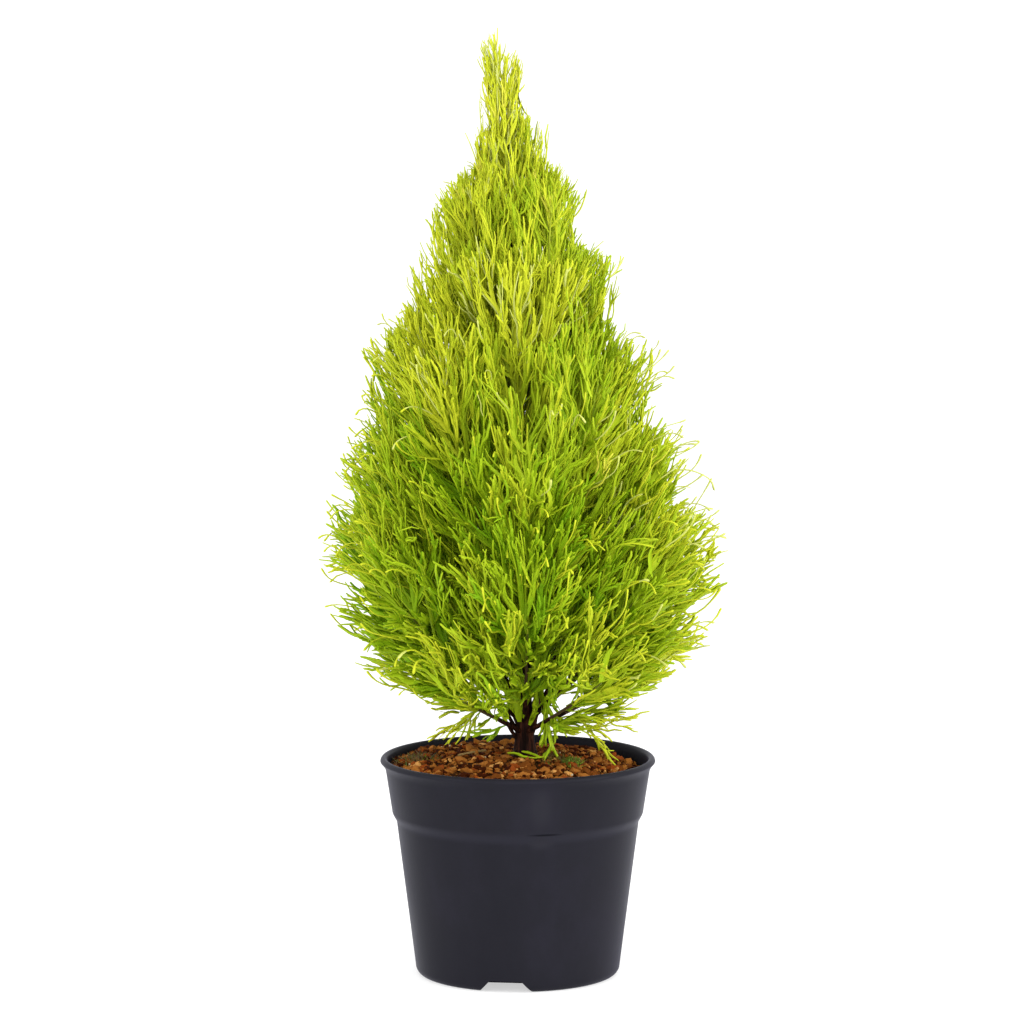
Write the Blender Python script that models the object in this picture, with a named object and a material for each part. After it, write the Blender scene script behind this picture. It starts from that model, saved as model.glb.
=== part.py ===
"""Lemon cypress in a nursery pot: pot, soil, trunk, boughs and plumes of foliage, in metres, +Z up.

The origin is the centre of the pot's flat underside. +X is to the right and +Y away, seen from the front.
"""

import math

import bmesh
import bpy
import numpy as np
from mathutils import Vector

# Pot
RIM_RADIUS = 0.0760
POT_HEIGHT = 0.1211
BASE_RADIUS = 0.0522
FOOT_CORNER_WIDTH = 0.0044
FOOT_CORNER_HEIGHT = 0.0050
STEP_LOW = 0.0845
STEP_HIGH = 0.0915
STEP_RADIUS_LOW = 0.0668
STEP_RADIUS_HIGH = 0.0695
COLLAR_TOP = 0.1162
COLLAR_TOP_RADIUS = 0.0733
WALL = 0.0014
FLOOR = 0.0020
POT_SEGMENTS = 40

# Drain channels in the pot's floor
CHANNELS = 3
CHANNEL_ANGLE = math.radians(263.0)
CHANNEL_TOP_WIDTH = 0.0175
CHANNEL_FOOT_WIDTH = 0.0290
CHANNEL_HEIGHT = 0.0064
CHANNEL_INNER = 0.0300
CHANNEL_REACH = 0.0700
DRAIN_HOLE_RADIUS = 0.0038
DRAIN_HOLE_PLACE = 0.0440

# Soil
GAP = 0.0004
SOIL_BOTTOM = CHANNEL_HEIGHT + WALL + GAP
SOIL_MOUND = 0.1215
SOIL_EDGE = 0.1135
SOIL_EDGE_TILT = 0.0030
SOIL_LUMP = 0.0009
SOIL_PAD_RADIUS = 0.0105
SOIL_SEGMENTS = 28

# Trunk, from its flat cut on the soil to its tip inside the crest
SEAT = 0.0003
TRUNK_FOOT = Vector((0.0036, 0.0, SOIL_MOUND + SEAT))
TRUNK_TIP = 0.4560
TRUNK_SIDES = 8
TRUNK_RINGS = 14
FLARE_HEIGHT = 0.0060
FLARE = 0.0026
TRUNK_FOOT_RADIUS = 0.0060
TRUNK_TIP_RADIUS = 0.0011
LEAN_LINE = ((0.1215, 0.0036), (0.20, 0.0030), (0.30, 0.0016), (0.40, -0.0022), (0.46, -0.0058), (0.52, -0.0125))

# Crown outline: height and radius from the leader
CROWN_TOP = 0.5220
CROWN_OUTLINE = (
    (0.124, 0.038),
    (0.140, 0.047),
    (0.152, 0.060),
    (0.165, 0.081),
    (0.185, 0.098),
    (0.210, 0.105),
    (0.245, 0.107),
    (0.280, 0.097),
    (0.330, 0.082),
    (0.380, 0.066),
    (0.420, 0.047),
    (0.450, 0.031),
    (0.480, 0.020),
    (0.505, 0.013),
    (0.522, 0.007),
)
RIM_CLEARANCE = 0.0030

# Tiers of plumes, from the skirt to the crest.
# Each row: name, count, root height, tip height, first azimuth in degrees, angle from upright in degrees
# at the root and at the tip, share of its line that is a bough, blades
TIERS = (
    ("skirt", 5, 0.1335, 0.182, 18.0, 66.0, 58.0, 0.22, 8),
    ("low", 7, 0.1385, 0.240, 12.9, 50.0, 40.0, 0.22, 10),
    ("lower", 5, 0.1500, 0.300, 54.0, 36.0, 24.0, 0.22, 10),
    ("middle", 5, 0.1850, 0.352, 18.0, 36.0, 18.0, 0.20, 10),
    ("upper", 4, 0.2500, 0.404, 0.0, 40.0, 14.0, 0.0, 9),
    ("high", 4, 0.3150, 0.446, 45.0, 36.0, 12.0, 0.0, 8),
    ("crest", 3, 0.3850, 0.490, 30.0, 28.0, 8.0, 0.0, 7),
)
LEADER_BLADES = 6
BOUGH_SIDES = 6
BOUGH_RINGS = 4
BOUGH_ROOT_RADIUS = 0.0018
BOUGH_TIP_RADIUS = 0.0011
STEM_RADIUS = 0.0012
STEM_SIDES = 3

# Foliage
SEED = 21
GOLDEN_ANGLE = math.radians(137.508)
CELL_MARGIN = 0.0012
LIMB_MARGIN = 0.0008
CORE_SIDES = 5
CORE_SHARE = 0.86
CORE_TAPER = (0.80, 1.0, 0.92, 0.62)
CORE_END = 0.84
CORE_OUTLINE = 0.94
CORE_CAP = 0.0400
SPRAY_OUTLINE = 1.08
BLADE_LENGTH = 0.042
BLADE_SHORTEST = 0.014
BLADE_WIDTH_SHARE = 0.19
BLADE_THICKNESS = 0.0020
BLADE_LIFT = 0.06
BLADE_SUNK = 0.70
INWARD_LIMIT = -0.30
FAN = 3
FAN_ANGLE = math.radians(24.0)
LINE_SAMPLES = 28

# Colours: base colour, roughness
FINISHES = {
    "pot_plastic": ((0.030, 0.029, 0.036), 0.42),
    "potting_soil": ((0.120, 0.052, 0.020), 0.95),
    "brown_bark": ((0.045, 0.022, 0.014), 0.80),
    "lemon_foliage": ((0.360, 0.430, 0.030), 0.60),
    "lime_foliage": ((0.250, 0.350, 0.025), 0.60),
}


# Scene, materials and meshes


def clear_scene():
    for found in list(bpy.data.objects):
        bpy.data.objects.remove(found, do_unlink=True)


def finish(name):
    """The plain material of that name."""
    made = bpy.data.materials.get(name)
    if made is None:
        colour, roughness = FINISHES[name]
        made = bpy.data.materials.new(name)
        made.use_nodes = True
        shader = made.node_tree.nodes["Principled BSDF"]
        shader.inputs["Base Color"].default_value = (*colour, 1.0)
        shader.inputs["Roughness"].default_value = roughness
        shader.inputs["Metallic"].default_value = 0.0
        made.diffuse_color = (*colour, 1.0)
    return made


def add_object(name, points, faces, material):
    mesh = bpy.data.meshes.new(name)
    mesh.from_pydata([tuple(p) for p in points], [], faces)
    mesh.materials.append(finish(material))
    made = bpy.data.objects.new(name, mesh)
    bpy.context.scene.collection.objects.link(made)
    return made


def face_outwards(made):
    """Turns every face of a closed mesh outwards."""
    work = bmesh.new()
    work.from_mesh(made.data)
    bmesh.ops.recalc_face_normals(work, faces=work.faces)
    work.to_mesh(made.data)
    work.free()


def shade_round(made, degrees=35.0):
    made.data.shade_smooth()
    made.data.set_sharp_from_angle(angle=math.radians(degrees))


def apply_modifiers(made):
    """Bakes the modifiers into the mesh, and removes them."""
    bpy.context.view_layer.update()
    graph = bpy.context.evaluated_depsgraph_get()
    baked = bpy.data.meshes.new_from_object(made.evaluated_get(graph))
    made.modifiers.clear()
    made.data = baked


def boolean(made, other, operation):
    """Joins or cuts made with an object or a collection, then removes that."""
    change = made.modifiers.new(operation.title(), "BOOLEAN")
    change.operation = operation
    change.solver = "EXACT"
    several = isinstance(other, bpy.types.Collection)
    if several:
        change.operand_type = "COLLECTION"
        change.collection = other
    else:
        change.object = other
    apply_modifiers(made)
    for gone in list(other.objects) if several else [other]:
        bpy.data.objects.remove(gone, do_unlink=True)
    if several:
        bpy.data.collections.remove(other)


def keep_largest_body(made):
    """Drops loose scraps, and fills sealed hollows, which are bodies of their own inside the largest."""
    work = bmesh.new()
    work.from_mesh(made.data)
    bmesh.ops.remove_doubles(work, verts=work.verts, dist=1e-6)
    bmesh.ops.triangulate(work, faces=work.faces)
    bmesh.ops.dissolve_degenerate(work, edges=work.edges, dist=1e-6)
    unseen, bodies = set(work.faces), []
    while unseen:
        body, edge = [], [unseen.pop()]
        while edge:
            face = edge.pop()
            body.append(face)
            for side in face.edges:
                for other in side.link_faces:
                    if other in unseen:
                        unseen.discard(other)
                        edge.append(other)
        bodies.append(body)

    def volume(body):
        return sum(f.verts[0].co.dot(f.verts[1].co.cross(f.verts[2].co)) for f in body if len(f.verts) == 3)

    largest = max(bodies, key=volume)
    kept = set(largest)
    bmesh.ops.delete(work, geom=[f for f in work.faces if f not in kept], context="FACES")
    work.to_mesh(made.data)
    work.free()


# Curves and tubes


def smooth_between(table, at):
    """A value from a table of (place, value), eased with a cubic through its neighbours."""
    places = np.array([row[0] for row in table])
    values = np.array([row[1] for row in table])
    slopes = np.gradient(values, places)
    at = np.clip(at, places[0], places[-1])
    i = np.clip(np.searchsorted(places, at) - 1, 0, len(places) - 2)
    step = places[i + 1] - places[i]
    t = (at - places[i]) / step
    return (
        (1 + 2 * t) * (1 - t) ** 2 * values[i]
        + t * (1 - t) ** 2 * step * slopes[i]
        + t * t * (3 - 2 * t) * values[i + 1]
        + t * t * (t - 1) * step * slopes[i + 1]
    )


def leader_point(height):
    """The trunk's middle at a height, carried on above its tip."""
    return Vector((float(smooth_between(LEAN_LINE, height)), 0.0, height))


def trunk_radius(height):
    along = min(max((height - TRUNK_FOOT.z) / (TRUNK_TIP - TRUNK_FOOT.z), 0.0), 1.0)
    flare = FLARE * math.exp(-(height - TRUNK_FOOT.z) / FLARE_HEIGHT)
    return TRUNK_FOOT_RADIUS + (TRUNK_TIP_RADIUS - TRUNK_FOOT_RADIUS) * along**0.45 + flare


def crown_radius(height):
    return float(smooth_between(CROWN_OUTLINE, height))


def bezier(line, t):
    a, b, c, d = line
    u = 1.0 - t
    return a * u**3 + b * (3 * u * u * t) + c * (3 * u * t * t) + d * t**3


def bezier_tangent(line, t):
    a, b, c, d = line
    u = 1.0 - t
    return ((b - a) * (3 * u * u) + (c - b) * (6 * u * t) + (d - c) * (3 * t * t)).normalized()


def side_of(direction):
    """A unit vector across a direction."""
    across = direction.cross(Vector((0.0, 0.0, 1.0)))
    if across.length < 1e-3:
        across = direction.cross(Vector((0.0, 1.0, 0.0)))
    return across.normalized()


def tube(centres, radii, sides, turn=0.0):
    """Points and faces of a closed tube through the centres, with flat ends."""
    points, faces = [], []
    across = side_of(centres[1] - centres[0])
    for i, centre in enumerate(centres):
        before, after = centres[max(i - 1, 0)], centres[min(i + 1, len(centres) - 1)]
        along = (after - before).normalized()
        across = (across - along * across.dot(along)).normalized()
        other = along.cross(across)
        for k in range(sides):
            a = turn + 2 * math.pi * k / sides
            points.append(centre + (across * math.cos(a) + other * math.sin(a)) * radii[i])
    for i in range(len(centres) - 1):
        for k in range(sides):
            a, b = i * sides + k, i * sides + (k + 1) % sides
            faces.append((a, b, b + sides, a + sides))
    faces.append(tuple(reversed(range(sides))))
    last = (len(centres) - 1) * sides
    faces.append(tuple(range(last, last + sides)))
    return points, faces


def turned(profile, segments):
    """Points and faces of a solid turned from (radius, height) rows that start and end on the axis."""
    points, faces = [Vector((0.0, 0.0, profile[0][1]))], []
    for radius, height in profile[1:-1]:
        for k in range(segments):
            a = 2 * math.pi * k / segments
            points.append(Vector((radius * math.cos(a), radius * math.sin(a), height)))
    points.append(Vector((0.0, 0.0, profile[-1][1])))
    rings, last = len(profile) - 2, len(points) - 1
    for k in range(segments):
        n = (k + 1) % segments
        faces.append((0, 1 + n, 1 + k))
        for i in range(rings - 1):
            a, b = 1 + i * segments + k, 1 + i * segments + n
            faces.append((a, b, b + segments, a + segments))
        top = 1 + (rings - 1) * segments
        faces.append((top + k, top + n, last))
    return points, faces


# Pot and soil


def wall_radius(height):
    """The pot wall's outer radius, from the foot's corner to the collar's top."""
    if height <= STEP_LOW:
        low = BASE_RADIUS + FOOT_CORNER_WIDTH
        share = (height - FOOT_CORNER_HEIGHT) / (STEP_LOW - FOOT_CORNER_HEIGHT)
        return low + (STEP_RADIUS_LOW - low) * share
    if height <= STEP_HIGH:
        share = (height - STEP_LOW) / (STEP_HIGH - STEP_LOW)
        eased = share * share * (3 - 2 * share)
        return STEP_RADIUS_LOW + (STEP_RADIUS_HIGH - STEP_RADIUS_LOW) * eased
    share = (height - STEP_HIGH) / (COLLAR_TOP - STEP_HIGH)
    return STEP_RADIUS_HIGH + (COLLAR_TOP_RADIUS - STEP_RADIUS_HIGH) * share


def step_heights():
    return [STEP_LOW + (STEP_HIGH - STEP_LOW) * share for share in (0.0, 0.33, 0.67, 1.0)]


def lip_profile():
    """The rolled lip as an ellipse on top of the collar, from its underside round to the inner wall."""
    inner = COLLAR_TOP_RADIUS - WALL
    middle = (RIM_RADIUS + inner) / 2
    wide, high = (RIM_RADIUS - inner) / 2, (POT_HEIGHT - COLLAR_TOP) / 2
    rows = []
    for degrees in (-62, -20, 20, 65, 110, 150):
        a = math.radians(degrees)
        rows.append((middle + wide * math.cos(a), POT_HEIGHT - high + high * math.sin(a)))
    return rows


def pot_profile():
    rows = [(0.0, 0.0), (BASE_RADIUS, 0.0)]
    for degrees in (-60, -30, 0):
        a = math.radians(degrees)
        rows.append(
            (
                BASE_RADIUS + FOOT_CORNER_WIDTH * math.cos(a),
                FOOT_CORNER_HEIGHT + FOOT_CORNER_HEIGHT * math.sin(a),
            )
        )
    rows += [(wall_radius(z), z) for z in step_heights()]
    rows.append((COLLAR_TOP_RADIUS, COLLAR_TOP))
    rows += lip_profile()
    rows.append((COLLAR_TOP_RADIUS - WALL, COLLAR_TOP))
    rows += [(wall_radius(z) - WALL, z) for z in reversed(step_heights())]
    rows.append((wall_radius(FOOT_CORNER_HEIGHT) - WALL, FOOT_CORNER_HEIGHT + WALL))
    rows += [(BASE_RADIUS, FLOOR), (0.0, FLOOR)]
    return rows


def channel_prism(name, grow, inner, bottom, reach_low, reach_high):
    """A radial prism with the channel's section, wider by grow all round, and rounded at its outer end."""
    top = CHANNEL_HEIGHT + grow
    slope = (CHANNEL_FOOT_WIDTH - CHANNEL_TOP_WIDTH) / 2 / CHANNEL_HEIGHT
    half_top = CHANNEL_TOP_WIDTH / 2 + grow
    half_foot = half_top + slope * (top - bottom)
    low = [(y, bottom, reach_low) for y in (-half_foot, 0.0, half_foot)]
    high = [(y, top, reach_high) for y in (half_top, 0.0, -half_top)]
    points = [Vector((inner, y, z)) for y, z, _ in low + high]
    points += [Vector((math.sqrt(reach**2 - y**2), y, z)) for y, z, reach in low + high]
    faces = [(5, 4, 3, 2, 1, 0), (6, 7, 10), (6, 10, 11), (7, 8, 9), (7, 9, 10)]
    faces += [(i, (i + 1) % 6, (i + 1) % 6 + 6, i + 6) for i in range(6)]
    return add_object(name, points, faces, "pot_plastic")


def turn_about_axis(made, angle):
    for vertex in made.data.vertices:
        x, y, z = vertex.co
        vertex.co = (
            x * math.cos(angle) - y * math.sin(angle),
            x * math.sin(angle) + y * math.cos(angle),
            z,
        )


def build_pot():
    pot = add_object("pot", *turned(pot_profile(), POT_SEGMENTS), "pot_plastic")
    face_outwards(pot)
    for k in range(CHANNELS):
        angle = CHANNEL_ANGLE + 2 * math.pi * k / CHANNELS
        # the roof and its side walls end inside the pot's wall, so that they stay off its outside
        wall_middle = wall_radius(CHANNEL_HEIGHT) - WALL / 2
        roof = channel_prism("roof", WALL, CHANNEL_INNER - WALL, FLOOR / 2, BASE_RADIUS + WALL, wall_middle)
        turn_about_axis(roof, angle)
        boolean(pot, roof, "UNION")
        channel = channel_prism("channel", 0.0, CHANNEL_INNER, -CHANNEL_HEIGHT, CHANNEL_REACH, CHANNEL_REACH)
        turn_about_axis(channel, angle)
        boolean(pot, channel, "DIFFERENCE")
        place = Vector((DRAIN_HOLE_PLACE, 0.0, 0.0))
        ends = [place + Vector((0.0, 0.0, z)) for z in (FLOOR, CHANNEL_HEIGHT + 4 * WALL)]
        hole = add_object("hole", *tube(ends, [DRAIN_HOLE_RADIUS] * 2, 10), "pot_plastic")
        turn_about_axis(hole, angle)
        boolean(pot, hole, "DIFFERENCE")
    keep_largest_body(pot)
    shade_round(pot)


def soil_edge_height(angle):
    """The soil lies higher behind and to the left than to the right."""
    return SOIL_EDGE + SOIL_EDGE_TILT * math.cos(angle - math.radians(140.0))


def build_soil():
    """A plug of soil with a mound round the trunk, in rings that start at the trunk's foot."""
    lumps = np.random.default_rng(SEED)
    inner = [(0.0, SOIL_BOTTOM), (wall_radius(SOIL_BOTTOM) - WALL - GAP, SOIL_BOTTOM)]
    # a little above each bend of the wall, so that the slope between stays clear of it
    inner += [(wall_radius(z) - WALL - GAP, z) for z in step_heights()]
    points, faces = [Vector((0.0, 0.0, SOIL_BOTTOM))], []
    for radius, height in inner[1:]:
        for k in range(SOIL_SEGMENTS):
            a = 2 * math.pi * k / SOIL_SEGMENTS
            points.append(Vector((radius * math.cos(a), radius * math.sin(a), height)))
    shares = (1.0, 0.76, 0.52, 0.28)
    for share in shares:
        for k in range(SOIL_SEGMENTS):
            a = 2 * math.pi * k / SOIL_SEGMENTS
            edge = soil_edge_height(a)
            rim = wall_radius(edge) - WALL - GAP
            outer = Vector((rim * math.cos(a), rim * math.sin(a), edge))
            pad = TRUNK_FOOT + Vector((SOIL_PAD_RADIUS * math.cos(a), SOIL_PAD_RADIUS * math.sin(a), -SEAT))
            place = pad.lerp(outer, share)
            rise = (SOIL_MOUND - edge) * (1 - share**1.6)
            lump = SOIL_LUMP * lumps.uniform(-1.0, 1.0) if share < 1.0 else 0.0
            place.z = edge + rise + lump
            points.append(place)
    for k in range(SOIL_SEGMENTS):
        a = 2 * math.pi * k / SOIL_SEGMENTS
        points.append(TRUNK_FOOT + Vector((SOIL_PAD_RADIUS * math.cos(a), SOIL_PAD_RADIUS * math.sin(a), -SEAT)))
    points.append(TRUNK_FOOT - Vector((0.0, 0.0, SEAT)))
    rings = len(inner) - 1 + len(shares) + 1
    for k in range(SOIL_SEGMENTS):
        n = (k + 1) % SOIL_SEGMENTS
        faces.append((0, 1 + n, 1 + k))
        for i in range(rings - 1):
            a, b = 1 + i * SOIL_SEGMENTS + k, 1 + i * SOIL_SEGMENTS + n
            faces.append((a, b, b + SOIL_SEGMENTS, a + SOIL_SEGMENTS))
        top = 1 + (rings - 1) * SOIL_SEGMENTS
        faces.append((top + k, top + n, len(points) - 1))
    soil = add_object("soil", points, faces, "potting_soil")
    face_outwards(soil)
    shade_round(soil, 50.0)


# Trunk and boughs


def trunk_heights():
    """Close together at the flare, further apart above it."""
    whole = TRUNK_TIP - TRUNK_FOOT.z
    return [TRUNK_FOOT.z + whole * (i / (TRUNK_RINGS - 1)) ** 1.9 for i in range(TRUNK_RINGS)]


def trunk_tube(grow=0.0):
    heights = trunk_heights()
    centres = [leader_point(z) for z in heights]
    points, faces = tube(centres, [trunk_radius(z) + grow for z in heights], TRUNK_SIDES)
    for point in points[:TRUNK_SIDES]:
        point.z = TRUNK_FOOT.z - grow
    return points, faces


def trunk_cutter():
    cutter = add_object("cutter", *trunk_tube(SEAT), "brown_bark")
    face_outwards(cutter)
    return cutter


def build_trunk():
    trunk = add_object("trunk", *trunk_tube(), "brown_bark")
    face_outwards(trunk)
    shade_round(trunk, 60.0)


class Plume:
    """One bough and its mass of foliage: a line from the trunk to the crown's outline."""

    def __init__(self, tier, number, count, root, tip, azimuth, lean_root, lean_tip, bough, blades):
        self.name = f"{tier}_{number}"
        self.bough = bough
        self.meets_trunk = bough == 0.0 and tier != "leader"
        self.blades = blades
        self.dice = np.random.default_rng([SEED, len(tier), number, round(root * 1e4)])
        shift = self.dice.uniform(-1.0, 1.0, 3)
        azimuth = math.radians(azimuth + 360.0 * number / count + 3.0 * shift[0])
        tip = tip + 0.006 * shift[1]
        outward = Vector((math.cos(azimuth), math.sin(azimuth), 0.0))
        start = leader_point(root + 0.0012 * shift[2])
        end = leader_point(tip) + outward * (crown_radius(tip) * 0.98)
        reach = (end - start).length
        up = Vector((0.0, 0.0, 1.0))
        leave = up * math.cos(math.radians(lean_root)) + outward * math.sin(math.radians(lean_root))
        arrive = up * math.cos(math.radians(lean_tip)) + outward * math.sin(math.radians(lean_tip))
        self.line = (start, start + leave * reach * 0.38, end - arrive * reach * 0.34, end)
        self.outward = outward
        self.samples = np.array([bezier(self.line, t) for t in np.linspace(0.0, 1.0, LINE_SAMPLES)])


def leader_plume():
    """The crest's middle, straight on from the trunk's tip."""
    plume = Plume("leader", 0, 1, TRUNK_TIP, CROWN_TOP, 180.0, 2.0, 2.0, 0.0, LEADER_BLADES)
    start, end = leader_point(TRUNK_TIP + SEAT), leader_point(CROWN_TOP)
    plume.line = (start, start.lerp(end, 0.33), start.lerp(end, 0.67), end)
    plume.samples = np.array([bezier(plume.line, t) for t in np.linspace(0.0, 1.0, LINE_SAMPLES)])
    return plume


def all_plumes():
    plumes = []
    for tier, count, *shape in TIERS:
        plumes += [Plume(tier, number, count, *shape) for number in range(count)]
    plumes.append(leader_plume())
    return plumes


def build_bough(plume):
    """A tapering limb, cut to the trunk's round with a small gap."""
    centres, radii = [], []
    for i in range(BOUGH_RINGS):
        share = i / (BOUGH_RINGS - 1)
        centres.append(bezier(plume.line, plume.bough * share))
        radii.append(BOUGH_ROOT_RADIUS + (BOUGH_TIP_RADIUS - BOUGH_ROOT_RADIUS) * share)
    bough = add_object("bough_" + plume.name, *tube(centres, radii, BOUGH_SIDES), "brown_bark")
    face_outwards(bough)
    boolean(bough, trunk_cutter(), "DIFFERENCE")
    keep_largest_body(bough)
    shade_round(bough, 60.0)


# Foliage


class Crown:
    """Tells whether a point lies in a plume's own space, clear of every limb and of the pot."""

    def __init__(self, plumes):
        self.plumes = plumes
        self.lines = np.stack([p.samples for p in plumes])

    def distances(self, point):
        """The distance from a point to each plume's line, and the nearest place on each."""
        a, b = self.lines[:, :-1], self.lines[:, 1:]
        along = b - a
        share = np.clip(((point - a) * along).sum(2) / (along * along).sum(2), 0.0, 1.0)
        gap = np.linalg.norm(point - a - along * share[..., None], axis=2)
        nearest = gap.argmin(1)
        place = (nearest + share[np.arange(len(nearest)), nearest]) / (LINE_SAMPLES - 1)
        return gap.min(1), place

    def holds(self, plume, point, outline=SPRAY_OUTLINE):
        """True if the point is in the plume's space."""
        point = np.array(point)
        height = point[2]
        middle = leader_point(height)
        from_leader = math.hypot(point[0] - middle.x, point[1] - middle.y)
        if height > CROWN_TOP or from_leader > crown_radius(height) * outline:
            return False
        if height < POT_HEIGHT + RIM_CLEARANCE:
            return False
        if height < TRUNK_TIP + 0.001 and from_leader < trunk_radius(height) + LIMB_MARGIN:
            return False
        gaps, places = self.distances(point)
        own = self.plumes.index(plume)
        if places[own] < plume.bough and gaps[own] < BOUGH_ROOT_RADIUS + LIMB_MARGIN:
            return False
        others = np.delete(gaps, own)
        return others.min() - gaps[own] >= CELL_MARGIN and others.min() > BOUGH_ROOT_RADIUS + LIMB_MARGIN


def reach_along(crown, plume, start, direction, furthest, outline=SPRAY_OUTLINE):
    """How far a straight twig can run from start before it leaves the plume's space."""
    step = 0.0015
    reach = 0.0
    while reach + step <= furthest and crown.holds(plume, start + direction * (reach + step), outline):
        reach += step
    return reach


def outward_at(plume, t, turn):
    """A direction square to the plume's line."""
    along = bezier_tangent(plume.line, t)
    across = side_of(along)
    return across * math.cos(turn) + along.cross(across) * math.sin(turn)


def core_radius(crown, plume, t, turn):
    """The core fills most of the space, and tapers to either end."""
    room = reach_along(crown, plume, bezier(plume.line, t), outward_at(plume, t, turn), 0.05, CORE_OUTLINE)
    place = (t - plume.bough) / (CORE_END - plume.bough) * len(CORE_TAPER) - 0.5
    taper = float(np.interp(place, range(len(CORE_TAPER)), CORE_TAPER))
    return max(min(room * CORE_SHARE * taper, CORE_CAP), STEM_RADIUS * 1.2)


def core_mesh(crown, plume):
    """A lumpy spindle along the line, in the plume's own space."""
    first, last = plume.bough + 0.05, CORE_END
    rings = len(CORE_TAPER)
    points = [bezier(plume.line, first)]
    for i in range(rings):
        t = first + (last - first) * (i + 0.6) / (rings + 0.2)
        for k in range(CORE_SIDES):
            turn = 2 * math.pi * (k + 0.5 * i) / CORE_SIDES
            out = core_radius(crown, plume, t, turn) * plume.dice.uniform(0.88, 1.04)
            points.append(bezier(plume.line, t) + outward_at(plume, t, turn) * out)
    points.append(bezier(plume.line, last))
    faces = []
    end = len(points) - 1
    for k in range(CORE_SIDES):
        n = (k + 1) % CORE_SIDES
        faces.append((0, 1 + n, 1 + k))
        for i in range(rings - 1):
            a, b = 1 + i * CORE_SIDES + k, 1 + i * CORE_SIDES + n
            faces += [(a, b, b + CORE_SIDES), (a, b + CORE_SIDES, a + CORE_SIDES)]
        top = 1 + (rings - 1) * CORE_SIDES
        faces.append((top + k, top + n, end))
    return points, faces


def blade_points(root, along, across, length, lift):
    """The outline of a toothed blade, then its two ridge points. It curves towards lift."""
    wide = length * BLADE_WIDTH_SHARE
    rows = ((0.0, 0.0), (0.64, 1.0), (0.60, 0.38), (1.0, 0.0), (0.52, -0.38), (0.48, -1.0))
    points = []
    for share, side in rows:
        bend = lift * (BLADE_LIFT * length * share * share)
        points.append(root + along * (length * share) + across * (wide * side) + bend)
    middle = root + along * (length * 0.40) + lift * (BLADE_LIFT * length * 0.40**2)
    thick = along.cross(across).normalized() * (BLADE_THICKNESS / 2)
    return points + [middle + thick, middle - thick]


def blade_faces():
    outline = 6
    faces = []
    for k in range(outline):
        n = (k + 1) % outline
        faces += [(k, n, outline), (n, k, outline + 1)]
    return faces


def fitting_blade(crown, plume, root, along, across, length):
    """A blade shortened until it lies in the plume's space, or None."""
    lift = Vector((0.0, 0.0, 1.0)) - along * along.z
    while length >= BLADE_SHORTEST:
        points = blade_points(root, along, across, length, lift)
        # the root is sunk in the core, so only the rest has to be clear
        tried = points[1:6] + [points[2].lerp(points[3], 0.5), points[4].lerp(points[3], 0.5)]
        if all(crown.holds(plume, p) for p in tried):
            return points
        length *= 0.94
    return None


def grow_blades(crown, plume):
    """Toothed blades whose tips lie even on the bounds of the plume's space, their roots sunk in the core."""
    blades = []
    whole = (plume.line[3] - plume.line[0]).length
    for k in range(5 * plume.blades):
        if len(blades) == plume.blades:
            break
        t = plume.bough + 0.16 + (0.99 - plume.bough - 0.16) * ((0.97 + 0.618034 * k) % 1.0)
        turn = GOLDEN_ANGLE * k
        outward = outward_at(plume, t, turn)
        if plume.bough > 0.0 and outward.dot(plume.outward) < INWARD_LIMIT:
            continue
        middle = bezier(plume.line, t)
        room = reach_along(crown, plume, middle, outward, 0.06)
        tip = middle + outward * room
        length = BLADE_LENGTH * plume.dice.uniform(0.85, 1.15)
        t_root = max(t - length / whole, plume.bough + 0.06)
        t_root = min(t_root, CORE_END - 0.06)
        root_outward = outward_at(plume, t_root, turn)
        root = bezier(plume.line, t_root) + root_outward * (core_radius(crown, plume, t_root, turn) * BLADE_SUNK)
        along = (tip - root).normalized()
        roll = plume.dice.uniform(-0.8, 0.8)
        across = along.cross(root_outward).normalized()
        across = (across * math.cos(roll) + along.cross(across) * math.sin(roll)).normalized()
        blade = fitting_blade(crown, plume, root, along, across, (tip - root).length)
        if blade is not None:
            blades.append(blade)
    return blades


def grow_fan(crown, plume):
    """One blade straight on from the plume's tip, and a few in a ring round it."""
    root = bezier(plume.line, CORE_END - 0.10)
    along = (plume.line[3] - root).normalized()
    length = (plume.line[3] - root).length
    blades = [fitting_blade(crown, plume, root, along, side_of(along), length)]
    for k in range(FAN):
        turn = 2 * math.pi * (k + plume.dice.uniform(-0.2, 0.2)) / FAN
        across = side_of(along)
        outward = across * math.cos(turn) + along.cross(across) * math.sin(turn)
        away = along * math.cos(FAN_ANGLE) + outward * math.sin(FAN_ANGLE)
        start = root + outward * (core_radius(crown, plume, CORE_END - 0.10, turn) * BLADE_SUNK * 0.6)
        reach = min(reach_along(crown, plume, start, away, 0.06), BLADE_LENGTH * 1.2)
        blades.append(fitting_blade(crown, plume, start, away, away.cross(outward).normalized(), reach))
    return [blade for blade in blades if blade is not None]


def join_mass(plume, blades, core, stem):
    """One closed body, or an open one where the join fails."""
    group = bpy.data.collections.new("pieces")
    bpy.context.scene.collection.children.link(group)
    for points, faces in [core] + [(blade, blade_faces()) for blade in blades]:
        piece = add_object("piece", points, faces, "lime_foliage")
        face_outwards(piece)
        bpy.context.scene.collection.objects.unlink(piece)
        group.objects.link(piece)
    high = plume.line[3].z > 0.33
    mass = add_object("foliage_" + plume.name, *stem, "lemon_foliage" if high else "lime_foliage")
    face_outwards(mass)
    boolean(mass, group, "UNION")
    if plume.meets_trunk:
        boolean(mass, trunk_cutter(), "DIFFERENCE")
    keep_largest_body(mass)
    return mass


def is_closed(made):
    work = bmesh.new()
    work.from_mesh(made.data)
    closed = all(edge.is_manifold for edge in work.edges)
    work.free()
    return closed


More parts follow.
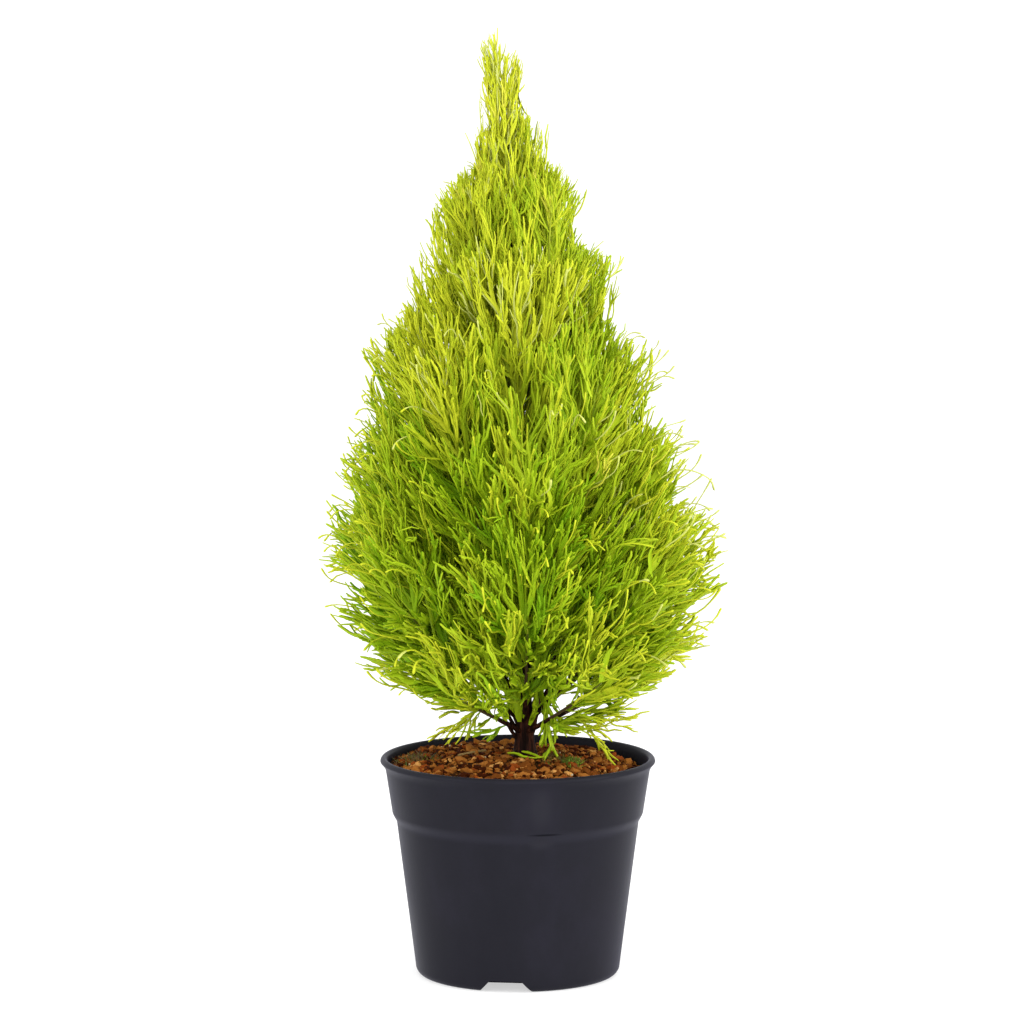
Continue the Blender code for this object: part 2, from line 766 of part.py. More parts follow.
def build_mass(crown, plume):
    """The plume's foliage as one body: a stem, and a core that toothed blades stand out of."""
    first, last = plume.bough, CORE_END
    start = bezier(plume.line, first)
    if plume.bough > 0.0:
        start = start + bezier_tangent(plume.line, first) * SEAT
    ends = [start] + [bezier(plume.line, first + (last - first) * share) for share in (0.06, 0.3, 0.6, 0.96)]
    stem = tube(ends, [STEM_RADIUS * (1.0 - 0.6 * i / 4) for i in range(5)], STEM_SIDES)
    core = core_mesh(crown, plume)
    blades = grow_fan(crown, plume) + grow_blades(crown, plume)
    while True:
        mass = join_mass(plume, blades, core, stem)
        if is_closed(mass) or not blades:
            break
        # a join that doesn't close is made again with one blade fewer
        bpy.data.objects.remove(mass, do_unlink=True)
        blades.pop()


def main():
    clear_scene()
    build_pot()
    build_soil()
    build_trunk()
    plumes = all_plumes()
    crown = Crown(plumes)
    for plume in plumes:
        if plume.bough > 0.0:
            build_bough(plume)
    for plume in plumes:
        build_mass(crown, plume)


main()
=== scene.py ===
"""Lemon cypress in its nursery pot: the finished pieces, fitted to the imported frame, in metres."""

import math

import bmesh
import bpy
import numpy as np
from mathutils import Matrix, Vector, noise


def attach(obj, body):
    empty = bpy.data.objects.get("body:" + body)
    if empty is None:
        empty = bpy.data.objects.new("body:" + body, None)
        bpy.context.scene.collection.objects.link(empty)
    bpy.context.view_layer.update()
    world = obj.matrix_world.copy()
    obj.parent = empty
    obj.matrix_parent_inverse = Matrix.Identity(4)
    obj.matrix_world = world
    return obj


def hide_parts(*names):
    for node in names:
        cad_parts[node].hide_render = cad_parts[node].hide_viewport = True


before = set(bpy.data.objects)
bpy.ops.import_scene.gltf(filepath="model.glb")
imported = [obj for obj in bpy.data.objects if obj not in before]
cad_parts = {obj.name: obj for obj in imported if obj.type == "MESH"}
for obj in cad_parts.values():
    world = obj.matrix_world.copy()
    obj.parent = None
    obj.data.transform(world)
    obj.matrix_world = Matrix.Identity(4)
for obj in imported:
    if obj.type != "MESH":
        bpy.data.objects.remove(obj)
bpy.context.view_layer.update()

MILLIMETRE = 0.001

# Pot, with the source's sizes
RIM_RADIUS = 0.0760
POT_HEIGHT = 0.1211
BASE_RADIUS = 0.0522
FOOT_CORNER_WIDTH = 0.0044
FOOT_CORNER_HEIGHT = 0.0050
STEP_LOW = 0.0845
STEP_HIGH = 0.0915
STEP_RADIUS_LOW = 0.0668
STEP_RADIUS_HIGH = 0.0695
COLLAR_TOP = 0.1162
COLLAR_TOP_RADIUS = 0.0733
LIP_LOW = 0.1135
WALL = 0.0014
FLOOR = 0.0020
POT_SEGMENTS = 144
CHANNELS = 3
CHANNEL_ANGLE = math.radians(263.0)
CHANNEL_TOP_WIDTH = 0.0175
CHANNEL_FOOT_WIDTH = 0.0290
CHANNEL_HEIGHT = 0.0064
CHANNEL_INNER = 0.0300
CHANNEL_REACH = 0.0700
DRAIN_HOLE_RADIUS = 0.0038
DRAIN_HOLE_PLACE = 0.0440
DRAIN_HOLE_SIDES = 20

# Soil, with the source's sizes, and what lies on it
GAP = 0.0004
SOIL_BOTTOM = CHANNEL_HEIGHT + WALL + GAP
SOIL_MOUND = 0.1215
SOIL_EDGE = 0.1135
SOIL_EDGE_TILT = 0.0030
SOIL_HIGH_SIDE = math.radians(140.0)
SOIL_PAD_RADIUS = 0.0105
SOIL_RINGS = 34
SOIL_SEGMENTS = 132
SOIL_ROUGHNESS = 0.0011
TRUNK_CLEARANCE = 0.0085
CHIPS = 1500
CHIP_LENGTHS = (0.0032, 0.0074)
CRUMBS = 1300
CRUMB_LENGTHS = (0.0009, 0.0022)
SPECKS = 12
SPECK_LENGTHS = (0.0009, 0.0016)
MOSS_SPIKE_RADIUS = 0.00050
# Bark chips: name, colour, and how much of the soil's cover each is
CHIP_COLOURS = (
    ("chip_dark", (0.038, 0.0068, 0.0008), 0.27),
    ("chip_brown", (0.148, 0.043, 0.0060), 0.30),
    ("chip_orange", (0.310, 0.112, 0.020), 0.26),
    ("chip_red", (0.225, 0.048, 0.0070), 0.11),
    ("chip_pale", (0.560, 0.270, 0.075), 0.06),
)
# Patches of moss and fine roots: middle, radius, height, count of tufts, and how much of each colour
MOSS = (
    (0.0300, -0.0190, 0.0054, 0.0026, 300, (0.34, 0.28, 0.18, 0.20)),
    (0.0215, -0.0130, 0.0090, 0.0010, 240, (0.04, 0.34, 0.02, 0.60)),
    (-0.0560, 0.0040, 0.0110, 0.0012, 260, (0.06, 0.40, 0.02, 0.52)),
)
MOSS_COLOURS = (
    ("moss_green", (0.080, 0.155, 0.004)),
    ("moss_olive", (0.120, 0.095, 0.006)),
    ("moss_lime", (0.170, 0.270, 0.008)),
    ("moss_brown", (0.115, 0.050, 0.006)),
)

# Trunk and boughs
TRUNK_FOOT = Vector((0.0036, 0.0, SOIL_MOUND + 0.0003))
TRUNK_TIP = 0.4560
TRUNK_RINGS = 120
TRUNK_SIDES = 40
FLARE_HEIGHT = 0.0060
FLARE = 0.0014
TRUNK_FOOT_RADIUS = 0.0060
TRUNK_TIP_RADIUS = 0.0011
BARK_RIDGE = 0.00045
BOUGH_ROOT_RADIUS = 0.0015
BOUGH_TIP_RADIUS = 0.0011
BOUGH_RINGS = 12
STEM_TIP_RADIUS = 0.0005
STEM_RINGS = 20
STEM_TRIALS = 60
FOOT_STEM_RINGS = 14
# Thin stems fused to the trunk's foot: radius at the root in metres, then points in millimetres,
# up to where the foliage hides them
FOOT_STEMS = (
    (0.0011, (1.0, -2.0, 129.0), (-3.5, -4.0, 136.0), (-8.5, -5.0, 145.0), (-13.0, -5.0, 153.0)),
    (0.0012, (0.8, -1.0, 133.0), (-4.0, -2.0, 142.0), (-8.5, -2.0, 150.0), (-13.5, -2.0, 158.0)),
    (0.0010, (1.0, 1.0, 136.0), (-3.0, 4.0, 145.0), (-6.0, 7.0, 155.0), (-10.0, 11.0, 166.0)),
    (0.0026, (5.6, -0.8, 130.0), (8.2, -2.0, 140.0), (9.8, -2.4, 148.0), (11.5, -2.8, 157.0)),
    (0.0012, (5.0, 2.0, 134.0), (10.5, 6.0, 144.0), (16.0, 11.0, 156.0), (24.0, 16.0, 172.0)),
)
# The trunk's middle: height, then x
LEAN_LINE = (
    (0.1215, 0.0036),
    (0.20, 0.0030),
    (0.30, 0.0016),
    (0.40, -0.0022),
    (0.46, -0.0058),
    (0.52, -0.0125),
)

# Crown outline, with the source's sizes: height and radius from the leader
CROWN_TOP = 0.5220
CROWN_OUTLINE = (
    (0.124, 0.038),
    (0.140, 0.047),
    (0.152, 0.060),
    (0.165, 0.081),
    (0.185, 0.098),
    (0.210, 0.105),
    (0.245, 0.107),
    (0.280, 0.097),
    (0.330, 0.082),
    (0.380, 0.066),
    (0.420, 0.047),
    (0.450, 0.031),
    (0.480, 0.020),
    (0.505, 0.013),
    (0.522, 0.007),
)
RIM_CLEARANCE = 0.0030
LIMB_MARGIN = 0.0008
LINE_SAMPLES = 16
SEED = 21

# Tiers of plumes, from the skirt to the crest, as in the source.
# Each row: name, count, root height, tip height, first azimuth in degrees, angle from upright in degrees
# at the root and at the tip, share of its line that is a bough
TIERS = (
    ("skirt", 5, 0.1335, 0.182, 18.0, 66.0, 58.0, 0.22),
    ("low", 7, 0.1385, 0.240, 12.9, 50.0, 40.0, 0.22),
    ("lower", 5, 0.1500, 0.300, 54.0, 36.0, 24.0, 0.22),
    ("middle", 5, 0.1850, 0.352, 18.0, 36.0, 18.0, 0.20),
    ("upper", 4, 0.2500, 0.404, 0.0, 40.0, 14.0, 0.0),
    ("high", 4, 0.3150, 0.446, 45.0, 36.0, 12.0, 0.0),
    ("crest", 3, 0.3850, 0.490, 30.0, 28.0, 8.0, 0.0),
    ("leader", 1, TRUNK_TIP, CROWN_TOP, 180.0, 2.0, 2.0, 0.0),
)

# How each tier branches: side shoots on a plume, their length, and the length of the twigs on them
BRANCHING = {
    "skirt": (22, 0.050, 0.042),
    "low": (31, 0.052, 0.051),
    "lower": (35, 0.052, 0.054),
    "middle": (35, 0.050, 0.051),
    "upper": (37, 0.045, 0.045),
    "high": (40, 0.040, 0.038),
    "crest": (44, 0.032, 0.032),
    "leader": (64, 0.022, 0.032),
}

# The way that foliage grows at the crown's outline: height and degrees from upright
FLOW_LEAN = (
    (0.124, 84.0),
    (0.165, 72.0),
    (0.210, 56.0),
    (0.260, 41.0),
    (0.320, 28.0),
    (0.380, 18.0),
    (0.440, 11.0),
    (0.522, 5.0),
)
GOLDEN_ANGLE = math.radians(137.508)
SHOOT_RINGS = 9
SHOOT_SHORTEST = 0.010
FROND_RADIUS = 0.0019
FROND_FLATNESS = 0.26
RIBBON_FLATNESS = 0.18
TWIG_RINGS = 10
TWIG_SPACING = 0.0066
TWIG_SHORTEST = 0.0100
TWIG_RADIUS = 0.00104
NUB_RADIUS = 0.00080
FORK_RADIUS = 0.00098
FORK_SHORTEST = 0.0050
# Side tips on the twigs: spacing, shortest, longest, degrees off the twig, rings and wave
NUBS = (0.0240, 0.0030, 0.0062, 34.0, 2, 0.0)
FORKS = (0.0145, 0.0080, 0.0210, 20.0, 5, 0.26)
# How thick each kind is from ring to ring, as shares of its radius
NUB_TAPER = (1.0, 0.74)
FORK_TAPER = (0.86, 1.0, 0.95, 0.84, 0.64)
FROND_TAPER = (0.30, 0.72, 0.95, 1.0, 1.0, 0.94, 0.82, 0.64, 0.36)
STRAND_TAPER = (0.74, 0.90, 1.0, 1.0, 1.0, 0.98, 0.92, 0.84, 0.73, 0.58)
RIBBON_TAPER = (0.50, 0.82, 0.98, 1.0, 0.98, 0.92, 0.83, 0.70, 0.53, 0.30)
KNOBBED_TAPER = (0.80, 0.92, 0.95, 0.92, 0.88, 0.84, 0.80, 0.78, 1.10, 1.35)
# How the foliage changes from the lower crown to its top
RISE_FROM = 0.16
RISE_OVER = 0.34
FINER_ABOVE = 0.52
CALMER_ABOVE = 0.55
CLOSER_ABOVE = 0.56
SPARSER_ABOVE = 0.25
LOW_FOLIAGE = 0.16
ALL_KEPT_BELOW = 0.17
TUFTS = 0.36
INSIDE = 0.46
KEPT_INSIDE = 0.30
OPEN_ABOVE = 0.490
OPEN_TIP = 0.62
LEVEL_SPREAD = 0.085
WISPS = 420
WISP_HEIGHT = 0.36
WISP_OUTLINE = 1.07
WISP_SHORTEST = 0.014
SPIRES = 130
SPIRES_ABOVE = 0.30
SPIRE_SHORTEST = 0.012
CELL_OVERLAP = 0.0120
SHOOT_OUTLINE = 0.88
NOTCH_SCALE = 38.0
NOTCH = 0.17
RIBBON_EDGE = 130.0
STEM_OUTLINE = 0.78
STEM_BELOW_TOP = 0.030
BARE_HEIGHT = 0.1500
BARE_RADIUS = 0.0170

# The dense foliage's edge, measured on the left and right: height, then the shares of the outline's radius
CROWN_EDGES = (
    (0.124, 1.08, 1.10),
    (0.140, 1.22, 1.18),
    (0.150, 0.98, 1.14),
    (0.165, 1.00, 1.14),
    (0.185, 0.98, 1.01),
    (0.205, 0.94, 0.91),
    (0.226, 0.97, 1.04),
    (0.240, 1.00, 0.94),
    (0.254, 0.96, 0.99),
    (0.264, 0.96, 0.88),
    (0.275, 1.02, 0.94),
    (0.290, 1.02, 0.97),
    (0.311, 0.95, 0.85),
    (0.327, 0.96, 0.95),
    (0.342, 1.09, 0.88),
    (0.362, 0.86, 0.79),
    (0.381, 0.85, 0.86),
    (0.395, 0.87, 0.96),
    (0.406, 0.86, 0.68),
    (0.430, 0.92, 1.09),
    (0.452, 0.62, 0.70),
    (0.460, 0.68, 0.82),
    (0.471, 0.50, 0.94),
    (0.484, 0.90, 0.56),
    (0.497, 0.66, 0.84),
    (0.508, 0.78, 0.80),
    (0.522, 0.50, 0.55),
)

# Slow bends that neighbouring twigs share
SWAY_SCALE = 24.0
SWAY = 0.36
WAVE_SHARE = 1.3

# Slow changes of colour from patch to patch
PATCH_SCALE = 30.0
PATCH = 0.36
# painted light: leaves on the crown's right side are paler, as if lit more from that side
PAINTED_LIGHT_RIGHT_SIDE = 0.10

# Leaf colours, from the shaded inside of the crown to the palest tips, then the golden ones
LEAF_COLOURS = (
    ("leaf_inner_green", (0.195, 0.375, 0.005)),
    ("leaf_shade_green", (0.250, 0.410, 0.006)),
    ("leaf_green", (0.312, 0.448, 0.008)),
    ("leaf_lime_body", (0.366, 0.482, 0.012)),
    ("leaf_lime", (0.446, 0.524, 0.016)),
    ("leaf_lemon", (0.540, 0.588, 0.022)),
    ("leaf_pale_tip", (0.560, 0.602, 0.140)),
    ("leaf_golden", (0.665, 0.655, 0.060)),
)
PALEST = 6
GOLDEN = 7

# Camera, at the photograph's height, distance and tilt
CAMERA_PLACE = (-0.0032, -2.6, 0.5631)
CAMERA_TILT = 0.1172
CAMERA_LENS = 167.58
SENSOR_WIDTH = 36.0

# Studio light: name, place, size in metres and power in watts of each softbox
SKY_STRENGTH = 1.26
SOFTBOXES = (
    ("front", (0.1, -2.9, 1.0), 1.6, 17.0),
    ("key_left", (-2.1, -1.0, 1.1), 1.3, 20.0),
    ("fill_right", (2.1, -0.9, 1.1), 1.3, 34.0),
    ("over", (0.1, -0.3, 2.2), 1.2, 6.0),
)
PLANT_MIDDLE = Vector((0.0, 0.0, 0.26))

UP = np.array((0.0, 0.0, 1.0))
SIDE = np.array((0.0, 1.0, 0.0))


# Meshes

NO_QUADS = np.empty((0, 4), int)


def linked_object(name, data):
    """An object that shows this mesh, light or camera in the scene."""
    made = bpy.data.objects.new(name, data)
    bpy.context.scene.collection.objects.link(made)
    return made


def add_piece(name, mesh, materials, nodes=()):
    """Links a mesh as a piece that rides on the plant and stands for these nodes of the frame."""
    for material in materials:
        mesh.materials.append(material)
    piece = linked_object(name, mesh)
    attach(piece, "root")
    if nodes:
        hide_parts(*nodes)
    return piece


def mesh_from_arrays(name, points, triangles, triangle_colours, quads=NO_QUADS, quad_colours=()):
    """A smooth mesh from points, three-sided and four-sided faces, and the material of each."""
    mesh = bpy.data.meshes.new(name)
    mesh.vertices.add(len(points))
    mesh.vertices.foreach_set("co", np.asarray(points, np.float32).ravel())
    corners = np.concatenate([quads.ravel(), triangles.ravel()]).astype(np.int32)
    mesh.loops.add(len(corners))
    mesh.loops.foreach_set("vertex_index", corners)
    starts = np.concatenate([np.arange(len(quads)) * 4, len(quads) * 4 + np.arange(len(triangles)) * 3])
    mesh.polygons.add(len(starts))
    mesh.polygons.foreach_set("loop_start", starts.astype(np.int32))
    chosen = np.concatenate([quad_colours, triangle_colours]).astype(np.int32)
    mesh.polygons.foreach_set("material_index", chosen)
    mesh.update(calc_edges=True)
    mesh.validate()
    mesh.shade_smooth()
    return mesh


def mesh_from_lists(name, points, faces):
    mesh = bpy.data.meshes.new(name)
    mesh.from_pydata([tuple(p) for p in points], [], faces)
    mesh.update()
    return mesh


def smooth_up_to(mesh, degrees):
    """The mesh, shaded smooth but for edges sharper than this."""
    mesh.shade_smooth()
    mesh.set_sharp_from_angle(angle=math.radians(degrees))
    return mesh


def circle(radius, height, segments, middle=(0.0, 0.0), first=0.0):
    """Points of a level circle from a first angle on, counter-clockwise from above."""
    turns = [first + math.tau * k / segments for k in range(segments)]
    return [(middle[0] + radius * math.cos(a), middle[1] + radius * math.sin(a), height) for a in turns]


def skinned(foot, rings, tip, fold=0):
    """Points and faces of a closed skin over rings of points, with one point below and one above.

    A four-sided face that isn't flat folds from its corner of this number to the one across."""
    segments = len(rings[0])
    points = [foot] + [point for ring in rings for point in ring] + [tip]
    last = len(points) - 1
    top = last - segments
    faces = []
    for k in range(segments):
        n = (k + 1) % segments
        faces.append((0, 1 + n, 1 + k))
        for a in range(1, top, segments):
            face = (a + k, a + n, a + n + segments, a + k + segments)
            faces.append(face[fold:] + face[:fold])
        faces.append((top + k, top + n, last))
    return points, faces


# Curves and arrays of directions


def smooth_between(table, at):
    """Values from a table of (place, value), eased with a cubic through its neighbours."""
    places = np.array([row[0] for row in table])
    values = np.array([row[1] for row in table])
    slopes = np.gradient(values, places)
    at = np.clip(at, places[0], places[-1])
    i = np.clip(np.searchsorted(places, at) - 1, 0, len(places) - 2)
    step = places[i + 1] - places[i]
    t = (at - places[i]) / step
    return (
        (1 + 2 * t) * (1 - t) ** 2 * values[i]
        + t * (1 - t) ** 2 * step * slopes[i]
        + t * t * (3 - 2 * t) * values[i + 1]
        + t * t * (t - 1) * step * slopes[i + 1]
    )


def rising(value, low, span):
    """From 0 at a low value to 1 at a span above it."""
    return np.clip((value - low) / span, 0.0, 1.0)


def leader_point(height):
    """The trunk's middle at a height, carried on above its tip."""
    return np.array((float(smooth_between(LEAN_LINE, height)), 0.0, height))


def trunk_radius(height):
    along = rising(height, TRUNK_FOOT.z, TRUNK_TIP - TRUNK_FOOT.z)
    flare = FLARE * np.exp(-np.maximum(height - TRUNK_FOOT.z, 0.0) / FLARE_HEIGHT)
    return TRUNK_FOOT_RADIUS + (TRUNK_TIP_RADIUS - TRUNK_FOOT_RADIUS) * along**0.45 + flare


def crown_radius(height):
    return smooth_between(CROWN_OUTLINE, height)


def off_leader(points):
    """How far each point stands off the leader's middle: along x, along y, and in all."""
    x = points[..., 0] - smooth_between(LEAN_LINE, points[..., 2])
    return x, points[..., 1], np.hypot(x, points[..., 1])


def crown_edge(points):
    """The share of the outline's radius that dense foliage fills, eased from the left side to the right."""
    height = points[..., 2]
    x, _, away = off_leader(points)
    right = 0.5 + 0.5 * x / np.maximum(away, 1e-6)
    edges = [[(row[0], row[side]) for row in CROWN_EDGES] for side in (1, 2)]
    left_edge, right_edge = (smooth_between(edge, height) for edge in edges)
    return left_edge + (right_edge - left_edge) * right


def leader_line(points):
    """The leader's middle at the height of each point."""
    height = points[..., 2]
    return np.stack([smooth_between(LEAN_LINE, height), np.zeros_like(height), height], axis=-1)


def outward_level(points):
    """The level way straight out from the leader."""
    x, y, _ = off_leader(points)
    return unit(np.stack([x, y, np.zeros_like(x)], axis=-1))


def crown_flow(points):
    """The way that foliage grows at a place: up near the leader, and out towards the outline."""
    height = points[..., 2]
    x, y, away = off_leader(points)
    away = np.maximum(away, 1e-6)
    out = np.clip(away / crown_radius(height), 0.0, 1.15)
    lean = np.radians(smooth_between(FLOW_LEAN, height)) * out**0.8
    sideways = np.sin(lean) / away
    return np.stack([x * sideways, y * sideways, np.cos(lean)], axis=-1)


def unit(vectors):
    return vectors / np.maximum(np.linalg.norm(vectors, axis=-1, keepdims=True), 1e-9)


def across_of(directions):
    """A unit vector square to each direction."""
    helper = np.where(np.abs(directions[..., 2:3]) < 0.93, UP, SIDE)
    return unit(np.cross(directions, helper))


def outward_from(directions, turns):
    """Unit vectors square to the directions, at these turns about them."""
    across = across_of(directions)
    other = np.cross(directions, across)
    return across * np.cos(turns)[:, None] + other * np.sin(turns)[:, None]


def places_along(paths, which, share):
    """The places and directions at a share of the length of the chosen paths."""
    place = np.clip(share, 0.0, 0.9999) * (paths.shape[1] - 1)
    low = place.astype(int)
    a, b = paths[which, low], paths[which, low + 1]
    return a + (b - a) * (place - low)[:, None], unit(b - a)


# Shader nodes


def put(tree, value, socket):
    """Sets a socket to a plain value, or links it to another node's output."""
    if isinstance(value, bpy.types.NodeSocket):
        tree.links.new(value, socket)
    else:
        socket.default_value = value


def add_node(tree, kind, inputs=None, **settings):
    """A shader node with these settings, and a value or an output on each of these inputs."""
    node = tree.nodes.new("ShaderNode" + kind)
    for name, setting in settings.items():
        setattr(node, name, setting)
    for socket, value in (inputs or {}).items():
        put(tree, value, node.inputs[socket])
    return node


def calculate(tree, operation, *values, kind="Math", **settings):
    """The first output of one sum on numbers or outputs."""
    return add_node(tree, kind, dict(enumerate(values)), operation=operation, **settings).outputs[0]


def add_noise(tree, place, scale, detail):
    """A noise from 0 to 1 at this place and scale."""
    inputs = {"Vector": place, "Scale": scale, "Detail": detail, "Roughness": 0.6}
    return add_node(tree, "TexNoise", inputs).outputs["Fac"]


def new_group(name, inputs, outputs):
    """A shader node group with these inputs and outputs: its start, its end and the object's place."""
    group = bpy.data.node_groups.new(name, "ShaderNodeTree")
    for label, value in inputs.items():
        kind = "NodeSocketFloat" if isinstance(value, float) else "NodeSocketVector"
        group.interface.new_socket(label, in_out="INPUT", socket_type=kind).default_value = value
    for label in outputs:
        group.interface.new_socket(label, in_out="OUTPUT", socket_type="NodeSocketFloat")
    start = group.nodes.new("NodeGroupInput").outputs
    end = group.nodes.new("NodeGroupOutput").inputs
    return group, start, end, add_node(group, "TexCoord").outputs["Object"]


def build_grain_group():
    """Fine grain: a tone from dark to light and a height, from noise drawn out along the upright."""
    inputs = {"Scale": 60.0, "Upright Squeeze": 1.0, "Contrast": 1.0}
    group, start, end, place = new_group("fine_grain", inputs, ("Tone", "Height"))
    stretch = add_node(group, "CombineXYZ", {"X": 1.0, "Y": 1.0, "Z": start["Upright Squeeze"]}).outputs[0]
    drawn = calculate(group, "MULTIPLY", place, stretch, kind="VectorMath")
    grain = add_noise(group, drawn, start["Scale"], 6.0)
    centred = calculate(group, "SUBTRACT", grain, 0.5)
    tone = calculate(group, "MULTIPLY_ADD", centred, start["Contrast"], 0.5, use_clamp=True)
    put(group, tone, end["Tone"])
    put(group, grain, end["Height"])
    return group


def build_dust_group():
    """Settled dust and specks: a mask, more on what faces up, broken into spots."""
    inputs = {"Spot Scale": 400.0, "Cover": 0.3, "On Tops": 0.5}
    group, start, end, place = new_group("settled_dust", inputs, ("Mask",))
    spots = add_noise(group, place, start["Spot Scale"], 3.0)
    normal = add_node(group, "NewGeometry").outputs["Normal"]
    upward = add_node(group, "SeparateXYZ", {0: normal}).outputs["Z"]
    lifted = calculate(group, "ADD", spots, calculate(group, "MULTIPLY", upward, start["On Tops"]))
    above = calculate(group, "SUBTRACT", lifted, calculate(group, "SUBTRACT", 1.0, start["Cover"]))
    put(group, calculate(group, "MULTIPLY", above, 8.0, use_clamp=True), end["Mask"])
    return group


def build_spot_group():
    """A soft spot: a mask that fades out from a middle, over its own size along each axis."""
    inputs = {"Middle": (0.0, 0.0, 0.0), "Size": (1.0, 1.0, 1.0)}
    group, start, end, place = new_group("soft_spot", inputs, ("Mask",))
    gap = calculate(group, "SUBTRACT", place, start["Middle"], kind="VectorMath")
    scaled = calculate(group, "DIVIDE", gap, start["Size"], kind="VectorMath")
    far = add_node(group, "VectorMath", {0: scaled}, operation="LENGTH").outputs["Value"]
    fade = {"Value": far, "From Min": 0.2, "To Min": 1.0, "To Max": 0.0}
    mask = add_node(group, "MapRange", fade, interpolation_type="SMOOTHSTEP").outputs["Result"]
    put(group, mask, end["Mask"])
    return group


GRAIN = build_grain_group()
DUST = build_dust_group()
SPOT = build_spot_group()


# Materials


class Finish:
    """A material in the making: its shader, with plain values that its nodes may replace."""

    def __init__(self, name, colour, roughness, specular=0.5):
        self.material = bpy.data.materials.new(name)
        self.material.use_nodes = True
        self.material.diffuse_color = (*colour, 1.0)
        self.tree = self.material.node_tree
        self.lay(Base_Color=(*colour, 1.0), Roughness=roughness, Specular_IOR_Level=specular)

    def lay(self, **values):
        """Puts a value or an output on each of these inputs of the shader."""
        shader = self.tree.nodes["Principled BSDF"]
        for label, value in values.items():
            put(self.tree, value, shader.inputs[label.replace("_", " ")])

    def place(self, group, **values):
        """The outputs of a shared group, with this material's own values on its inputs."""
        inputs = {label.replace("_", " "): value for label, value in values.items()}
        return add_node(self.tree, "Group", inputs, node_tree=group).outputs

    def ramp(self, tone, *stops):
        """Colours dealt out along a tone from 0 to 1."""
        ramp = add_node(self.tree, "ValToRGB", {"Fac": tone})
        row = ramp.color_ramp.elements
        while len(row) < len(stops):
            row.new(0.5)
        for element, (place, colour) in zip(row, stops):
            element.position = place
            element.color = (*colour, 1.0)
        return ramp.outputs["Color"]

    def mix(self, mask, under, over):
        """One colour laid over another where the mask is white."""
        inputs = {"Factor": mask, "A": under, "B": (*over, 1.0)}
        return add_node(self.tree, "Mix", inputs, data_type="RGBA").outputs["Result"]

    def relief(self, height, strength, depth):
        """A bump from a height, in metres at full strength."""
        inputs = {"Strength": strength, "Distance": depth, "Height": height}
        self.lay(Normal=add_node(self.tree, "Bump", inputs).outputs["Normal"])

    def spread(self, value, low, high):
        """A value from 0 to 1 drawn out between low and high."""
        inputs = {"Value": value, "To Min": low, "To Max": high}
        return add_node(self.tree, "MapRange", inputs).outputs["Result"]


def pot_plastic():
    """Black moulded plastic: cloudy, with a soft grain, a painted reflection and painted highlights, a
    mould line and specks of dust.
    """
    finish = Finish("pot_plastic_moulded", (0.0125, 0.0122, 0.0170), 0.44, 0.055)
    finish.lay(Specular_Tint=(0.80, 0.82, 1.0, 1.0))
    finish.lay(Sheen_Weight=0.05, Sheen_Roughness=0.35, Sheen_Tint=(0.45, 0.45, 1.0, 1.0))
    cloud = finish.place(GRAIN, Scale=24.0, Upright_Squeeze=0.6, Contrast=2.2)
    fine = finish.place(GRAIN, Scale=900.0, Upright_Squeeze=0.5, Contrast=1.2)
    dust = finish.place(DUST, Spot_Scale=900.0, Cover=0.20, On_Tops=0.05)
    dark, usual, light = (0.0112, 0.0110, 0.0146), (0.0132, 0.0128, 0.0172), (0.0162, 0.0154, 0.0222)
    tone = finish.ramp(cloud["Tone"], (0.0, dark), (0.55, usual), (1.0, light))
    # painted reflection of the floor: lighter round the step; painted highlight of the front light: lighter
    # in an upright band on the collar and in a patch under the mould line
    for middle, size, colour in (
        ((0.0, 0.0, 0.0872), (0.2, 0.2, 0.0048), (0.0190, 0.0186, 0.0260)),
        ((0.0124, -0.0720, 0.1040), (0.0085, 0.0200, 0.0160), (0.0185, 0.0180, 0.0235)),
        ((0.0124, -0.0670, 0.0845), (0.0090, 0.0200, 0.0050), (0.0185, 0.0180, 0.0235)),
        ((0.0149, -0.0680, 0.0893), (0.0130, 0.0200, 0.0009), (0.0045, 0.0045, 0.0065)),
    ):
        tone = finish.mix(finish.place(SPOT, Middle=middle, Size=size)["Mask"], tone, colour)
    finish.lay(Base_Color=finish.mix(dust["Mask"], tone, (0.032, 0.030, 0.031)))
    finish.lay(Roughness=finish.spread(cloud["Tone"], 0.36, 0.50))
    finish.relief(fine["Height"], 0.20, 0.00012)
    return finish.material


def brown_bark():
    """Dark fibrous bark with reddish streaks drawn out along the stem."""
    finish = Finish("brown_bark_fibrous", (0.030, 0.011, 0.006), 0.80, 0.10)
    streak = finish.place(GRAIN, Scale=420.0, Upright_Squeeze=0.14, Contrast=2.6)
    patch = finish.place(DUST, Spot_Scale=160.0, Cover=0.42, On_Tops=0.0)
    tone = finish.ramp(
        streak["Tone"],
        (0.0, (0.004, 0.0015, 0.0012)),
        (0.45, (0.012, 0.0035, 0.0022)),
        (0.75, (0.044, 0.011, 0.005)),
        (1.0, (0.100, 0.034, 0.015)),
    )
    finish.lay(Base_Color=finish.mix(patch["Mask"], tone, (0.024, 0.010, 0.006)))
    finish.lay(Roughness=finish.spread(streak["Tone"], 0.90, 0.62))
    finish.relief(streak["Height"], 0.9, 0.0008)
    return finish.material


def soil_earth():
    """Dark peaty earth between the chips."""
    finish = Finish("soil_earth", (0.022, 0.008, 0.002), 0.95, 0.05)
    grain = finish.place(GRAIN, Scale=300.0, Upright_Squeeze=1.0, Contrast=2.4)
    crumbs = finish.place(DUST, Spot_Scale=520.0, Cover=0.44, On_Tops=0.02)
    dark, usual, light = (0.006, 0.002, 0.0006), (0.026, 0.008, 0.0018), (0.095, 0.033, 0.007)
    tone = finish.ramp(grain["Tone"], (0.0, dark), (0.5, usual), (1.0, light))
    finish.lay(Base_Color=finish.mix(crumbs["Mask"], tone, (0.120, 0.043, 0.010)))
    finish.relief(grain["Height"], 1.0, 0.0015)
    return finish.material


